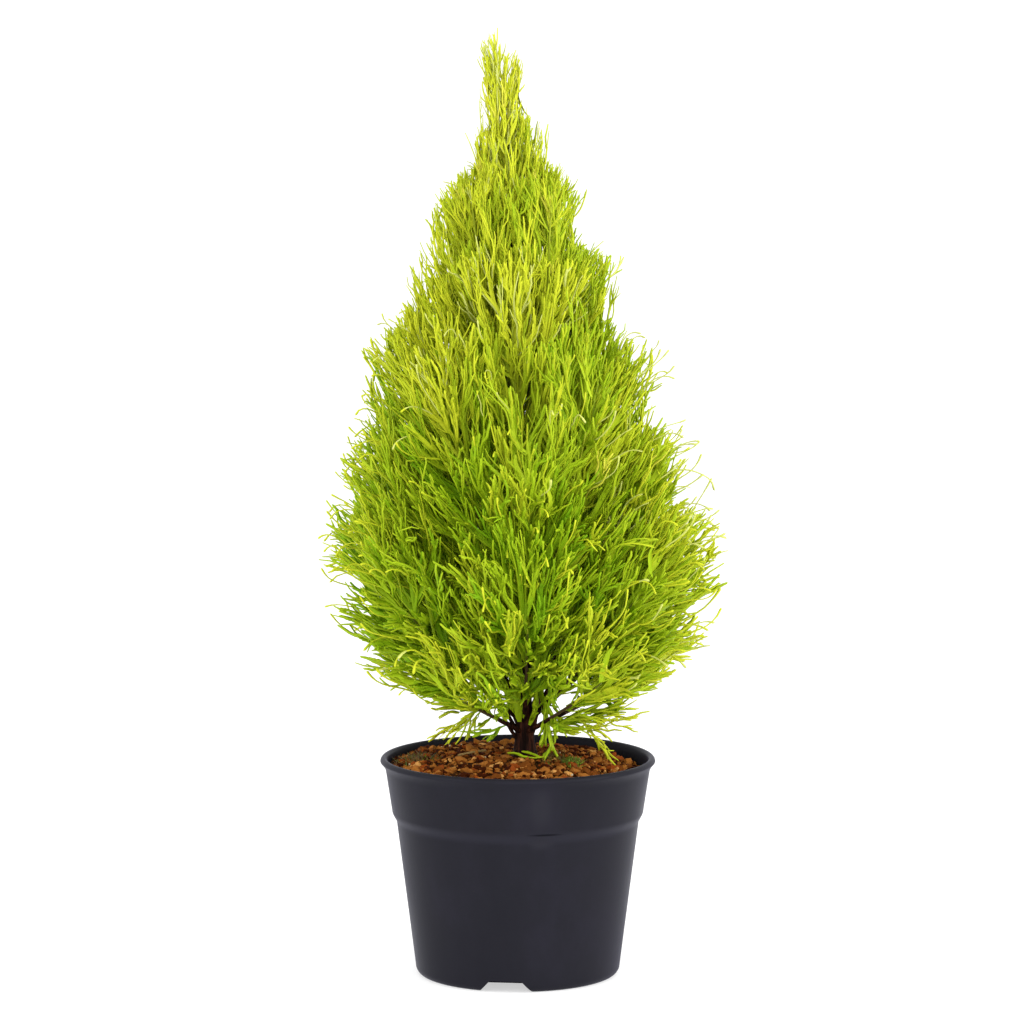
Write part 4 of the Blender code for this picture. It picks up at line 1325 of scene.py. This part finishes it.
def grow_twigs(dice, crown, shoots):
    """Long wavy twigs at both edges of each frond, and one on from its end, that turn with the flow."""
    spacing = TWIG_SPACING * (1.0 - CLOSER_ABOVE * rise_share(shoots.root[:, 2]))
    per_shoot = np.maximum((shoots.length / spacing).astype(int), 3) + 1
    parent, number = numbers_within(per_shoot)
    count = len(parent)
    share = 0.06 + 0.94 * (number + 0.5) / per_shoot[parent] + dice.uniform(-0.02, 0.02, count)
    root, along = places_along(shoots.paths(), parent, share)
    edge = shoots.turns[parent] + math.pi * (number % 2)
    outward = outward_from(along, edge + dice.normal(0.0, 0.35, count))
    last = number == per_shoot[parent] - 1
    whole = np.array([BRANCHING[crown.plumes[p].tier][2] for p in shoots.owner])[parent]
    length = whole * (1.20 - 0.45 * share) * dice.uniform(0.70, 1.40, count)
    leave = lean_towards(along, outward, np.where(last, 4.0, dice.uniform(12.0, 28.0, count)))
    arrive = lean_towards(along, outward, dice.uniform(-6.0, 8.0, count))
    ahead = root + arrive * length[:, None]
    rise = rise_share(root[:, 2])
    calm = (1.0 - CALMER_ABOVE * rise)[:, None]
    bend = SWAY * calm
    arrive = 0.24 * arrive + 0.76 * crown_flow(ahead) + bend * sway(ahead)
    leave = leave + 0.6 * bend * sway(root)
    twigs = Twigs(dice, shoots.owner[parent], root, leave, arrive, length, TWIG_RINGS, 0.028, 0.40)
    twigs.waves *= calm
    twigs.turns = turns_facing(twigs.leave, outward_face(root))
    twigs.turns += dice.normal(0.0, 0.45, count) * (1.0 - 0.5 * rise)
    # each spray ends in a point, further out near a plume's tip
    near_tip = rising(shoots.extra["tip"][parent], 0.75, 0.2)
    spread = narrow_share(ahead[:, 2])
    limit = shoots.extra["stand"][parent] + 0.04 * near_tip - 0.07 * (1.0 - share) + spread * notches(ahead)
    limit = np.minimum(limit + spread * dice.normal(0.0, 0.012, count), 1.0 + 0.055 * spread)
    hooked = chance(dice, count, np.where(limit > 0.97, 0.45, 0.10) * (1.0 - rise))
    bend_out = outward_level(ahead) * dice.uniform(0.4, 1.3, count)[:, None]
    bend_out[:, 2] += dice.uniform(-0.9, 0.6, count)
    twigs.hooks = (bend_out + dice.normal(0.0, 0.5, bend_out.shape)) * hooked[:, None]
    # thin pale strands, plain ones, and flat greener ribbons that are slimmer high up and by the soil
    draw = dice.uniform(0.0, 1.0, count)
    kind = (draw > 0.22).astype(int) + (draw > 0.56 - 0.14 * rise)
    shade = np.array((0.12, 0.02, -0.07))[kind] + dice.normal(0.0, 0.05, count)
    fringe = limit > 0.99
    slimmer = (1.0 - 0.50 * rise) * np.where(root[:, 2] < LOW_FOLIAGE, 0.6, 1.0)
    twigs.extra["tone"] = shoots.extra["tone"][parent] + shade * (1.0 - 0.85 * rise)
    twigs.extra["tone"] += np.where(fringe, 0.06, 0.0)
    twigs.extra["girth"] = np.array((0.74, 0.92, 2.30))[kind] * np.where(fringe, 0.84, 1.0)
    twigs.extra["girth"] *= np.where(kind == 2, slimmer, 1.0)
    twigs.extra["flat"] = np.array((1.0, 1.0, RIBBON_FLATNESS))[kind]
    twigs.extra["pale"] = (kind == 0).astype(int)
    twigs.extra["golden"] = shoots.extra["golden"][parent] & chance(dice, count, 0.7)
    twigs.extra["limit"] = limit
    twigs.fit(crown, limit, True, TWIG_SHORTEST)
    # only a few of the twigs that end deep inside the crown, and an open tip
    ends = twigs.paths()[:, -1]
    height = ends[:, 2]
    outer = off_leader(ends)[2] > INSIDE * crown_radius(height)
    kept = np.where(outer | (height < ALL_KEPT_BELOW), 1.0, KEPT_INSIDE + rise_share(height))
    kept -= OPEN_TIP * rising(height, OPEN_ABOVE, CROWN_TOP - OPEN_ABOVE)
    twigs.keep(chance(dice, len(kept), kept))
    return twigs


def grow_spires(dice, crown, twigs):
    """Single twigs of the upper crown that part from it and stand upright, just off its outline."""
    paths, parent = outer_twigs(dice, twigs, SPIRES, 0.70, lambda height: height > SPIRES_ABOVE)
    root, along = places_along(paths, parent, dice.uniform(0.3, 0.8, SPIRES))
    level = outward_level(root)
    leave = along + dice.uniform(0.3, 0.9, SPIRES)[:, None] * level
    arrive = UP + dice.uniform(-0.05, 0.30, SPIRES)[:, None] * level
    length = dice.uniform(0.020, 0.036, SPIRES)
    spires = Twigs(dice, twigs.owner[parent], root, leave, arrive, length, TWIG_RINGS, 0.02, 0.12)
    tone, girth = dice.normal(0.06, 0.05, SPIRES), dice.uniform(0.85, 1.10, SPIRES)
    spires.extra = looks(tone, girth, limit=dice.uniform(1.06, 1.16, SPIRES))
    spires.fit(crown, spires.extra["limit"], True, SPIRE_SHORTEST)
    return spires


def grow_side_tips(dice, twigs, spacing, shortest, longest, degrees, rings, wave):
    """Side tips in turn on both sides of each twig: short nubs, or forks nearly as thick as the twig."""
    paths = twigs.paths()
    fewer = 1.0 - SPARSER_ABOVE * rise_share(paths[:, 0, 2])
    per_twig = np.round(fewer * twigs.length / spacing + dice.uniform(-0.5, 0.5, len(paths))).astype(int)
    per_twig = np.clip(per_twig, 0, 5)
    parent, number = numbers_within(per_twig)
    count = len(parent)
    share = 0.22 + 0.70 * (number + 0.5) / per_twig[parent] + dice.uniform(-0.08, 0.08, count)
    root, along = places_along(paths, parent, share)
    roll = dice.uniform(0.0, math.tau, len(paths))[parent]
    outward = outward_from(along, roll + math.pi * (number % 2) + dice.normal(0.0, 0.5, count))
    length = np.minimum(dice.uniform(shortest, longest, count), twigs.length[parent] * (1.15 - share))
    leave = lean_towards(along, outward, dice.uniform(0.8, 1.25, count) * degrees)
    arrive = lean_towards(along, outward, dice.uniform(0.0, 0.5, count) * degrees)
    tips = Twigs(dice, twigs.owner[parent], root, leave, arrive, length, rings, 0.04, wave)
    tips.extra = {name: values[parent] for name, values in twigs.extra.items()}
    tips.extra["age"] = share * 0.8
    # a ribbon's own tips are round, and a little thicker than a strand's
    tips.extra["girth"] = np.minimum(tips.extra["girth"], 1.15)
    tips.extra["flat"] = np.ones(count)
    return tips


def looks(tone, girth, flat=1.0, pale=1, **more):
    """How a group of green twigs looks: a tone and girth each, one flatness, and pale ends or none."""
    count = len(tone)
    even = {"flat": np.full(count, flat), "pale": np.full(count, pale), "golden": np.zeros(count, bool)}
    return {"tone": tone, "girth": girth, **even, **more}


class LaidTwigs:
    """Twigs that follow given paths."""

    def __init__(self, paths, owner, turns, extra):
        self.laid, self.owner, self.turns, self.extra = paths, owner, turns, extra
        self.length = np.linalg.norm(np.diff(paths, axis=1), axis=2).sum(1)

    def paths(self):
        return self.laid


def grow_rims(dice, twigs):
    """Thin paler strands along both edges of most ribbons, which part from them towards the tip."""
    ribbons = np.flatnonzero(twigs.extra["flat"] < 1.0)
    which = np.repeat(ribbons, 2)
    side = np.tile((-1.0, 1.0), len(ribbons))
    paths = twigs.paths()
    rise = rise_share(paths[which, 0, 2])
    kept = chance(dice, len(which), 0.85 * (1.0 - 0.75 * rise))
    which, side = which[kept], side[kept]
    paths = paths[which]
    broad = tube_frames(paths, twigs.turns[which])[1]
    share = np.linspace(0.0, 1.0, paths.shape[1])[None, :, None]
    edge = 0.85 * TWIG_RADIUS * twigs.extra["girth"][which] * side
    part = dice.uniform(0.0008, 0.0042, len(which)) * side
    paths = paths + broad * (edge[:, None, None] + part[:, None, None] * share**2.5)
    longer = dice.uniform(0.0, 0.16, len(which))[:, None, None]
    paths = paths + (paths - paths[:, :1]) * longer * share
    extra = {name: values[which] for name, values in twigs.extra.items()}
    extra["tone"] = extra["tone"] + dice.normal(0.15, 0.05, len(which)) * (1.0 - rise[kept])
    extra["girth"] = dice.uniform(0.58, 0.80, len(which))
    extra["flat"] = np.ones(len(which))
    extra["pale"] = chance(dice, len(which), 0.35).astype(int)
    return LaidTwigs(paths, twigs.owner[which], twigs.turns[which], extra)


def grow_wisps(dice, crown, twigs):
    """Thin pale twigs of the lower crown that arch or curl out past the outline and end in a knob."""
    paths, parent = outer_twigs(dice, twigs, WISPS, 0.74, lambda height: height < WISP_HEIGHT)
    root, along = places_along(paths, parent, dice.uniform(0.2, 0.7, WISPS))
    level = outward_level(root)
    arrive = level + dice.uniform(-0.35, 0.75, WISPS)[:, None] * UP
    length = dice.uniform(0.024, 0.044, WISPS)
    leave = along + 0.4 * level
    wisps = Twigs(dice, twigs.owner[parent], root, leave, arrive, length, TWIG_RINGS, 0.02, 0.16)
    curl = np.where(chance(dice, WISPS, 0.62), 1.0, -0.8) * dice.uniform(0.5, 1.5, WISPS)
    wisps.hooks = curl[:, None] * UP - dice.uniform(-0.2, 0.8, WISPS)[:, None] * level
    tone, girth = dice.normal(0.26, 0.06, WISPS), dice.uniform(0.48, 0.66, WISPS)
    wisps.extra = looks(tone, girth, age=np.full(WISPS, 0.2))
    wisps.fit(crown, WISP_OUTLINE, False, WISP_SHORTEST)
    return wisps


def rise_share(height):
    """From 0 in the lower crown to 1 at its top."""
    return rising(height, RISE_FROM, RISE_OVER)


def leaf_tones(paths, extra, last_age):
    """A colour for each ring: green inside the crown, paler outwards, upwards and towards the tip; the
    darker green inside is partly the plant's own colour and partly painted shade.
    """
    height = paths[..., 2]
    x, _, away = off_leader(paths)
    out = away / np.maximum(crown_radius(height), 0.012)
    rise = rise_share(height)
    # darker deeper inside: partly the inner foliage's own green, partly painted shade
    depth = rising(out, 0.30, 0.70) * (1.0 - 0.75 * rise)
    share = np.linspace(0.0, 1.0, paths.shape[1])[None, :]
    age = extra["age"][:, None] * (1 - share) + last_age * share
    # painted light: high in the crown a twig's foot is paler than its end, and the tone is held above a
    # floor there, standing in for light that comes through into the shaded gaps
    feet = 0.45 * rise**1.3 * (1.0 - age)
    ends = 0.10 * (1.0 - 2.4 * rise) * age**1.5 + 0.15 * rising(rise, 0.85, 0.15)
    # painted light: paler leaves on the crown's right side
    painted_light_right = PAINTED_LIGHT_RIGHT_SIDE * rising(x, 0.0, 0.08) ** 2
    tone = 0.12 + 0.05 * (1.0 - rise) ** 4 + 0.24 * depth + 0.66 * rise**1.25 + feet + ends + painted_light_right
    tone = np.clip(tone, 0.60 * rising(rise, 0.0, 0.62), 0.80) + extra["tone"][:, None]
    index = np.clip(np.floor(tone * (PALEST + 1)), 0, PALEST - 1 + extra["pale"][:, None]).astype(int)
    return np.where(extra["golden"][:, None] & (index >= 4) & (rise > 0.30), GOLDEN, index)


def sized(radius, taper, dice, girth):
    """The radius at each ring of each twig, a little uneven."""
    return radius * np.array(taper) * girth[:, None] * dice.uniform(0.88, 1.14, (len(girth), 1))


def grow_orders(dice, crown, shoots, twigs):
    """The side tips on the twigs, then every order with its radius, taper and the age of its ends."""
    nubs = grow_side_tips(dice, twigs, *NUBS)
    forks = grow_side_tips(dice, twigs, *FORKS)
    if "limit" in forks.extra:
        forks.fit(crown, forks.extra["limit"] + 0.02, True, FORK_SHORTEST)
    twigs.extra["age"] = np.full(len(twigs.owner), 0.10)
    flat = twigs.extra["flat"][:, None] < 1.0
    orders = [
        (twigs, TWIG_RADIUS, np.where(flat, RIBBON_TAPER, STRAND_TAPER), 1.0),
        (nubs, NUB_RADIUS, NUB_TAPER, 1.0),
        (forks, FORK_RADIUS, FORK_TAPER, 1.0),
    ]
    if shoots is not None:
        shoots.extra["age"] = np.zeros(len(shoots.owner))
        shoots.extra["golden"] = np.zeros(len(shoots.owner), bool)
        orders.append((shoots, FROND_RADIUS, FROND_TAPER, 0.40))
        orders.append((grow_rims(dice, twigs), TWIG_RADIUS, STRAND_TAPER, 1.0))
        orders.append((grow_wisps(dice, crown, twigs), TWIG_RADIUS, KNOBBED_TAPER, 1.0))
    return orders


def build_sprays(crown):
    """The foliage, one piece for each tier, from its shoots, twigs and side tips."""
    dice = np.random.default_rng([SEED, 11])
    leaves = [plain_finish(name, colour, 0.55, 0.12) for name, colour in LEAF_COLOURS]
    shoots = grow_shoots(dice, crown)
    twigs = grow_twigs(dice, crown, shoots)
    twigs.join(grow_spires(dice, crown, twigs))
    tier_of = np.array([[row[0] for row in TIERS].index(p.tier) for p in crown.plumes])
    bundles = [TubeBundle() for _ in TIERS]
    for twig, radius, taper, last_age in grow_orders(dice, crown, shoots, twigs):
        paths = twig.paths()
        finer = 1.0 - FINER_ABOVE * rise_share(paths[..., 2])
        radii = sized(radius, taper, dice, twig.extra["girth"]) * finer
        colours = leaf_tones(paths, twig.extra, last_age)
        flat = twig.extra["flat"]
        for t, bundle in enumerate(bundles):
            chosen = tier_of[twig.owner] == t
            bundle.add(paths[chosen], radii[chosen], 3, colours[chosen], twig.turns[chosen], flat[chosen])
    for (tier, *_), bundle in zip(TIERS, bundles):
        nodes = [f"foliage_{p.name}" for p in crown.plumes if p.tier == tier]
        add_piece(f"sprays_{tier}", bundle.mesh(f"sprays_{tier}"), leaves, nodes)
    return leaves


# Loose sprigs at the foot


def smooth_path(rows, rings):
    """A path through a few points given in millimetres, eased so that it bends evenly."""
    rows = np.array(rows) * MILLIMETRE
    far = np.concatenate([[0.0], np.cumsum(np.linalg.norm(np.diff(rows, axis=0), axis=1))])
    at = np.linspace(0.0, far[-1], rings)
    return np.stack([smooth_between(list(zip(far, column)), at) for column in rows.T], axis=1)


# Each sprig's girth and tone, then its points in millimetres from the trunk or skirt to its tip
FOOT_SPRIGS = (
    (1.7, 0.10, (10, -8, 162), (14.4, -13, 153.5), (15.8, -14.5, 140), (16, -14, 134)),
    (1.5, 0.14, (15, -13, 148), (17, -15, 138), (18.2, -15, 128.5),
     (14.9, -15, 123.6), (9.4, -15, 122.8), (0.4, -14, 124)),
    (1.5, 0.10, (12, -6, 156), (19, -12, 146), (21.5, -14, 137)),
    (1.0, 0.24, (29, -4, 144), (37.1, -4, 140.1), (41.6, -2, 134),
     (44, 0, 129), (48.2, 0, 124.6), (53, 0, 124.3)),
    (0.9, 0.34, (-10, -6, 156), (-17.5, -10, 151.2), (-31.3, -10, 142.4),
     (-37.1, -10, 138.5), (-43.9, -10, 132.2)),
    (0.7, 0.30, (-23, -9, 148), (-30, -12, 140), (-36, -12, 134.5)),
    (0.6, 0.30, (-18, -10, 150), (-24, -12, 144), (-26.2, -12, 137.5)),
    (0.8, 0.28, (10, -8, 140), (23, -10, 142), (36.4, -10, 143.5), (52.9, -10, 142.7), (66, -10, 143.8)),
    (0.8, 0.28, (12, -8, 136), (25, -10, 137), (36.4, -11, 137.8), (52, -11, 140.5)),
    (2.2, 0.16, (1.2, -9, 142), (0.6, -12, 150), (-1.6, -13, 164)),
    (1.9, 0.22, (3, -9, 144), (4.2, -12.5, 154), (4.4, -14, 168)),
    (1.9, 0.12, (-0.6, -8, 145), (-4, -12, 154), (-7.5, -13, 166)),
    (1.9, 0.16, (6.2, -8, 140), (9.5, -12, 150), (10, -14, 164)),
)
SPRIG_TWIGS = 6
SPRIG_FLATNESS = 0.5
STRAW_RINGS = 8


def build_foot_sprigs(crown, leaves):
    """Green sprigs that hang and curl round the trunk's foot, each with a few twigs along it."""
    dice = np.random.default_rng([SEED, 17])
    paths = np.stack([smooth_path(points, TWIG_RINGS) for _, _, *points in FOOT_SPRIGS])
    girth, tone = (np.array([row[k] for row in FOOT_SPRIGS]) for k in (0, 1))
    count = len(FOOT_SPRIGS)
    turns = dice.uniform(0.0, math.tau, count)
    laid = LaidTwigs(paths, np.zeros(count, int), turns, looks(tone, girth, SPRIG_FLATNESS, 0))
    parent, number = numbers_within([SPRIG_TWIGS] * count)
    count = len(parent)
    root, along = places_along(paths, parent, (number + 0.7) / (SPRIG_TWIGS + 0.6))
    outward = outward_from(along, dice.uniform(0.0, math.tau, count))
    length = np.minimum(dice.uniform(0.008, 0.016, count), laid.length[parent] * 0.5)
    leave, arrive = (lean_towards(along, outward, degrees) for degrees in (38.0, 12.0))
    side = Twigs(dice, np.zeros(count, int), root, leave, arrive, length, TWIG_RINGS, 0.06, 0.25)
    side.extra = looks(tone[parent] + 0.04, 0.3 + 0.4 * girth[parent], SPRIG_FLATNESS, 0)
    ends = side.paths()
    side.keep(ends[..., 2].min(1) > np.array([soil_height(x, y) for x, y in ends[:, -1, :2]]) + 0.0012)
    bundle = TubeBundle()
    for twigs in (laid, side):
        for twig, radius, taper, last_age in grow_orders(dice, crown, None, twigs):
            paths = twig.paths()
            colours = leaf_tones(paths, twig.extra, last_age)
            radii = sized(radius, taper, dice, twig.extra["girth"])
            bundle.add(paths, radii, 3, colours, twig.turns, twig.extra["flat"])
    add_piece("foot_sprigs", bundle.mesh("foot_sprigs"), leaves)


def build_straw():
    """A dry straw that lies on the soil at the left."""
    places = ((-0.0330, -0.0020), (-0.0250, 0.0040), (-0.0180, 0.0085))
    rows = [(x, y, soil_height(x, y) + 0.0018) for x, y in places]
    bundle = TubeBundle()
    bundle.add_one(smooth_path(np.array(rows) / MILLIMETRE, STRAW_RINGS), np.full(STRAW_RINGS, 0.00075), 6)
    pale = chip_finish("straw_pale", (0.34, 0.22, 0.085))
    add_piece("dry_straw", bundle.mesh("dry_straw"), [pale])


# Trunk and boughs


def bark_lift(angle, height, seed):
    """Ridges that run up a stem: lumps on a long thin noise."""
    place = Vector((math.cos(angle) * 2.4 + seed, math.sin(angle) * 2.4, height * 45.0))
    fine = Vector((math.cos(angle) * 6.0, math.sin(angle) * 6.0 + seed, height * 120.0))
    return noise.noise(place) + 0.5 * noise.noise(fine)


def build_trunk():
    """The trunk with its ridged bark. Low down it swells into the fused feet of its first stems."""
    whole = TRUNK_TIP - TRUNK_FOOT.z
    rings = []
    for i in range(TRUNK_RINGS):
        z = TRUNK_FOOT.z + whole * (i / (TRUNK_RINGS - 1)) ** 1.7
        middle = leader_point(z)
        fused = math.exp(-(z - TRUNK_FOOT.z) / 0.022)
        ring = []
        for k in range(TRUNK_SIDES):
            a = math.tau * k / TRUNK_SIDES
            lobes = 0.13 * fused * math.cos(3 * a + 1.0 + 30.0 * (z - TRUNK_FOOT.z))
            radius = float(trunk_radius(z)) * (1.0 + lobes)
            radius += BARK_RIDGE * bark_lift(a, z, 0.0) * (0.3 + fused)
            ring.append((middle[0] + radius * math.cos(a), middle[1] + radius * math.sin(a), z))
        rings.append(ring)
    skin = skinned(leader_point(TRUNK_FOOT.z), rings, leader_point(TRUNK_TIP))
    return smooth_up_to(mesh_from_lists("trunk_bark", *skin), 70.0)


def build_boughs(crown, bark):
    """Each bough from inside the trunk's bark to its plume, then its stem on through the foliage."""
    dice = np.random.default_rng([SEED, 13])
    limbs, stems = TubeBundle(), TubeBundle()
    for plume in crown.plumes:
        if plume.bough > 0.0:
            path = bezier(plume.line, np.linspace(0.0, plume.bough + 0.02, BOUGH_RINGS))
            radii = np.linspace(BOUGH_ROOT_RADIUS, BOUGH_TIP_RADIUS * 0.9, BOUGH_RINGS)
            limbs.add_one(path, radii * dice.uniform(0.92, 1.10, BOUGH_RINGS), 10)
        # the stem ends where the foliage no longer covers it
        whole = bezier(plume.line, np.linspace(0.0, 1.0, STEM_TRIALS))
        covered = off_leader(whole)[2] < crown_radius(whole[:, 2]) * crown_edge(whole) * STEM_OUTLINE
        covered &= whole[:, 2] < CROWN_TOP - STEM_BELOW_TOP
        last = np.flatnonzero(covered)[-1] / (STEM_TRIALS - 1)
        path = bezier(plume.line, np.linspace(plume.bough, last, STEM_RINGS))
        radii = np.linspace(BOUGH_TIP_RADIUS * 0.9, STEM_TIP_RADIUS, STEM_RINGS)
        # brown where it starts, olive further on, green in the upper crown and towards the tip
        age = np.linspace(0.0, 2.2, STEM_RINGS) + (path[:, 2] - 0.20) / 0.12
        stems.add_one(path, radii, 6, np.clip(age, 0, 2).astype(int))
    for radius, *rows in FOOT_STEMS:
        radii = np.linspace(radius, radius * 0.7, FOOT_STEM_RINGS)
        uneven = dice.uniform(0.94, 1.08, FOOT_STEM_RINGS)
        limbs.add_one(smooth_path(rows, FOOT_STEM_RINGS), radii * uneven, 10)
    nodes = [f"bough_{p.name}" for p in crown.plumes if p.bough > 0.0]
    add_piece("boughs_bark", limbs.mesh("boughs_bark"), [bark], nodes)
    finishes = [
        plain_finish("stem_brown", (0.070, 0.038, 0.016)),
        plain_finish("stem_olive", (0.120, 0.135, 0.012)),
        plain_finish("stem_green", (0.330, 0.390, 0.012)),
    ]
    add_piece("plume_stems", stems.mesh("plume_stems"), finishes)


# Camera, light and floor


def build_floor():
    """A light table, so that the pot stands on white with only a faint shadow."""
    corners = [(-90, -90, 0), (90, -90, 0), (90, 90, 0), (-90, 90, 0)]
    mesh = mesh_from_lists("floor", corners, [(0, 1, 2, 3)])
    finish = Finish("floor_white", (0.50, 0.50, 0.50), 0.9, 0.1)
    finish.lay(Emission_Color=(1.0, 1.0, 1.0, 1.0), Emission_Strength=0.55)
    mesh.materials.append(finish.material)
    linked_object("floor", mesh)


def add_softbox(name, place, size, power):
    """A square soft light that faces the middle of the plant, and isn't seen itself."""
    light = bpy.data.lights.new(name, "AREA")
    light.shape = "SQUARE"
    light.size = size
    light.energy = power
    made = linked_object(name, light)
    made.location = place
    made.rotation_euler = (PLANT_MIDDLE - Vector(place)).to_track_quat("-Z", "Y").to_euler()
    made.visible_camera = False


def build_studio():
    scene = bpy.context.scene
    world = bpy.data.worlds.new("studio")
    world.use_nodes = True
    sky = world.node_tree.nodes["Background"].inputs
    sky["Color"].default_value = (1.0, 1.0, 1.0, 1.0)
    sky["Strength"].default_value = SKY_STRENGTH
    scene.world = world
    scene.view_settings.view_transform = "Standard"
    for softbox in SOFTBOXES:
        add_softbox(*softbox)
    build_floor()
    lens = bpy.data.cameras.new("camera")
    lens.lens = CAMERA_LENS
    lens.sensor_width = SENSOR_WIDTH
    lens.clip_end = 400.0
    camera = linked_object("camera", lens)
    camera.location = CAMERA_PLACE
    camera.rotation_euler = (math.pi / 2 - CAMERA_TILT, 0.0, 0.0)
    scene.camera = camera


def main():
    # without a seed of its own, the noise that gives directions would start from the clock
    noise.seed_set(SEED)
    build_studio()
    build_pot()
    build_soil_bed()
    build_chips()
    build_specks()
    build_moss()
    bark = brown_bark()
    add_piece("trunk_bark", build_trunk(), [bark], ["trunk"])
    crown = Crown(all_plumes())
    build_boughs(crown, bark)
    leaves = build_sprays(crown)
    build_foot_sprigs(crown, leaves)
    build_straw()


main()
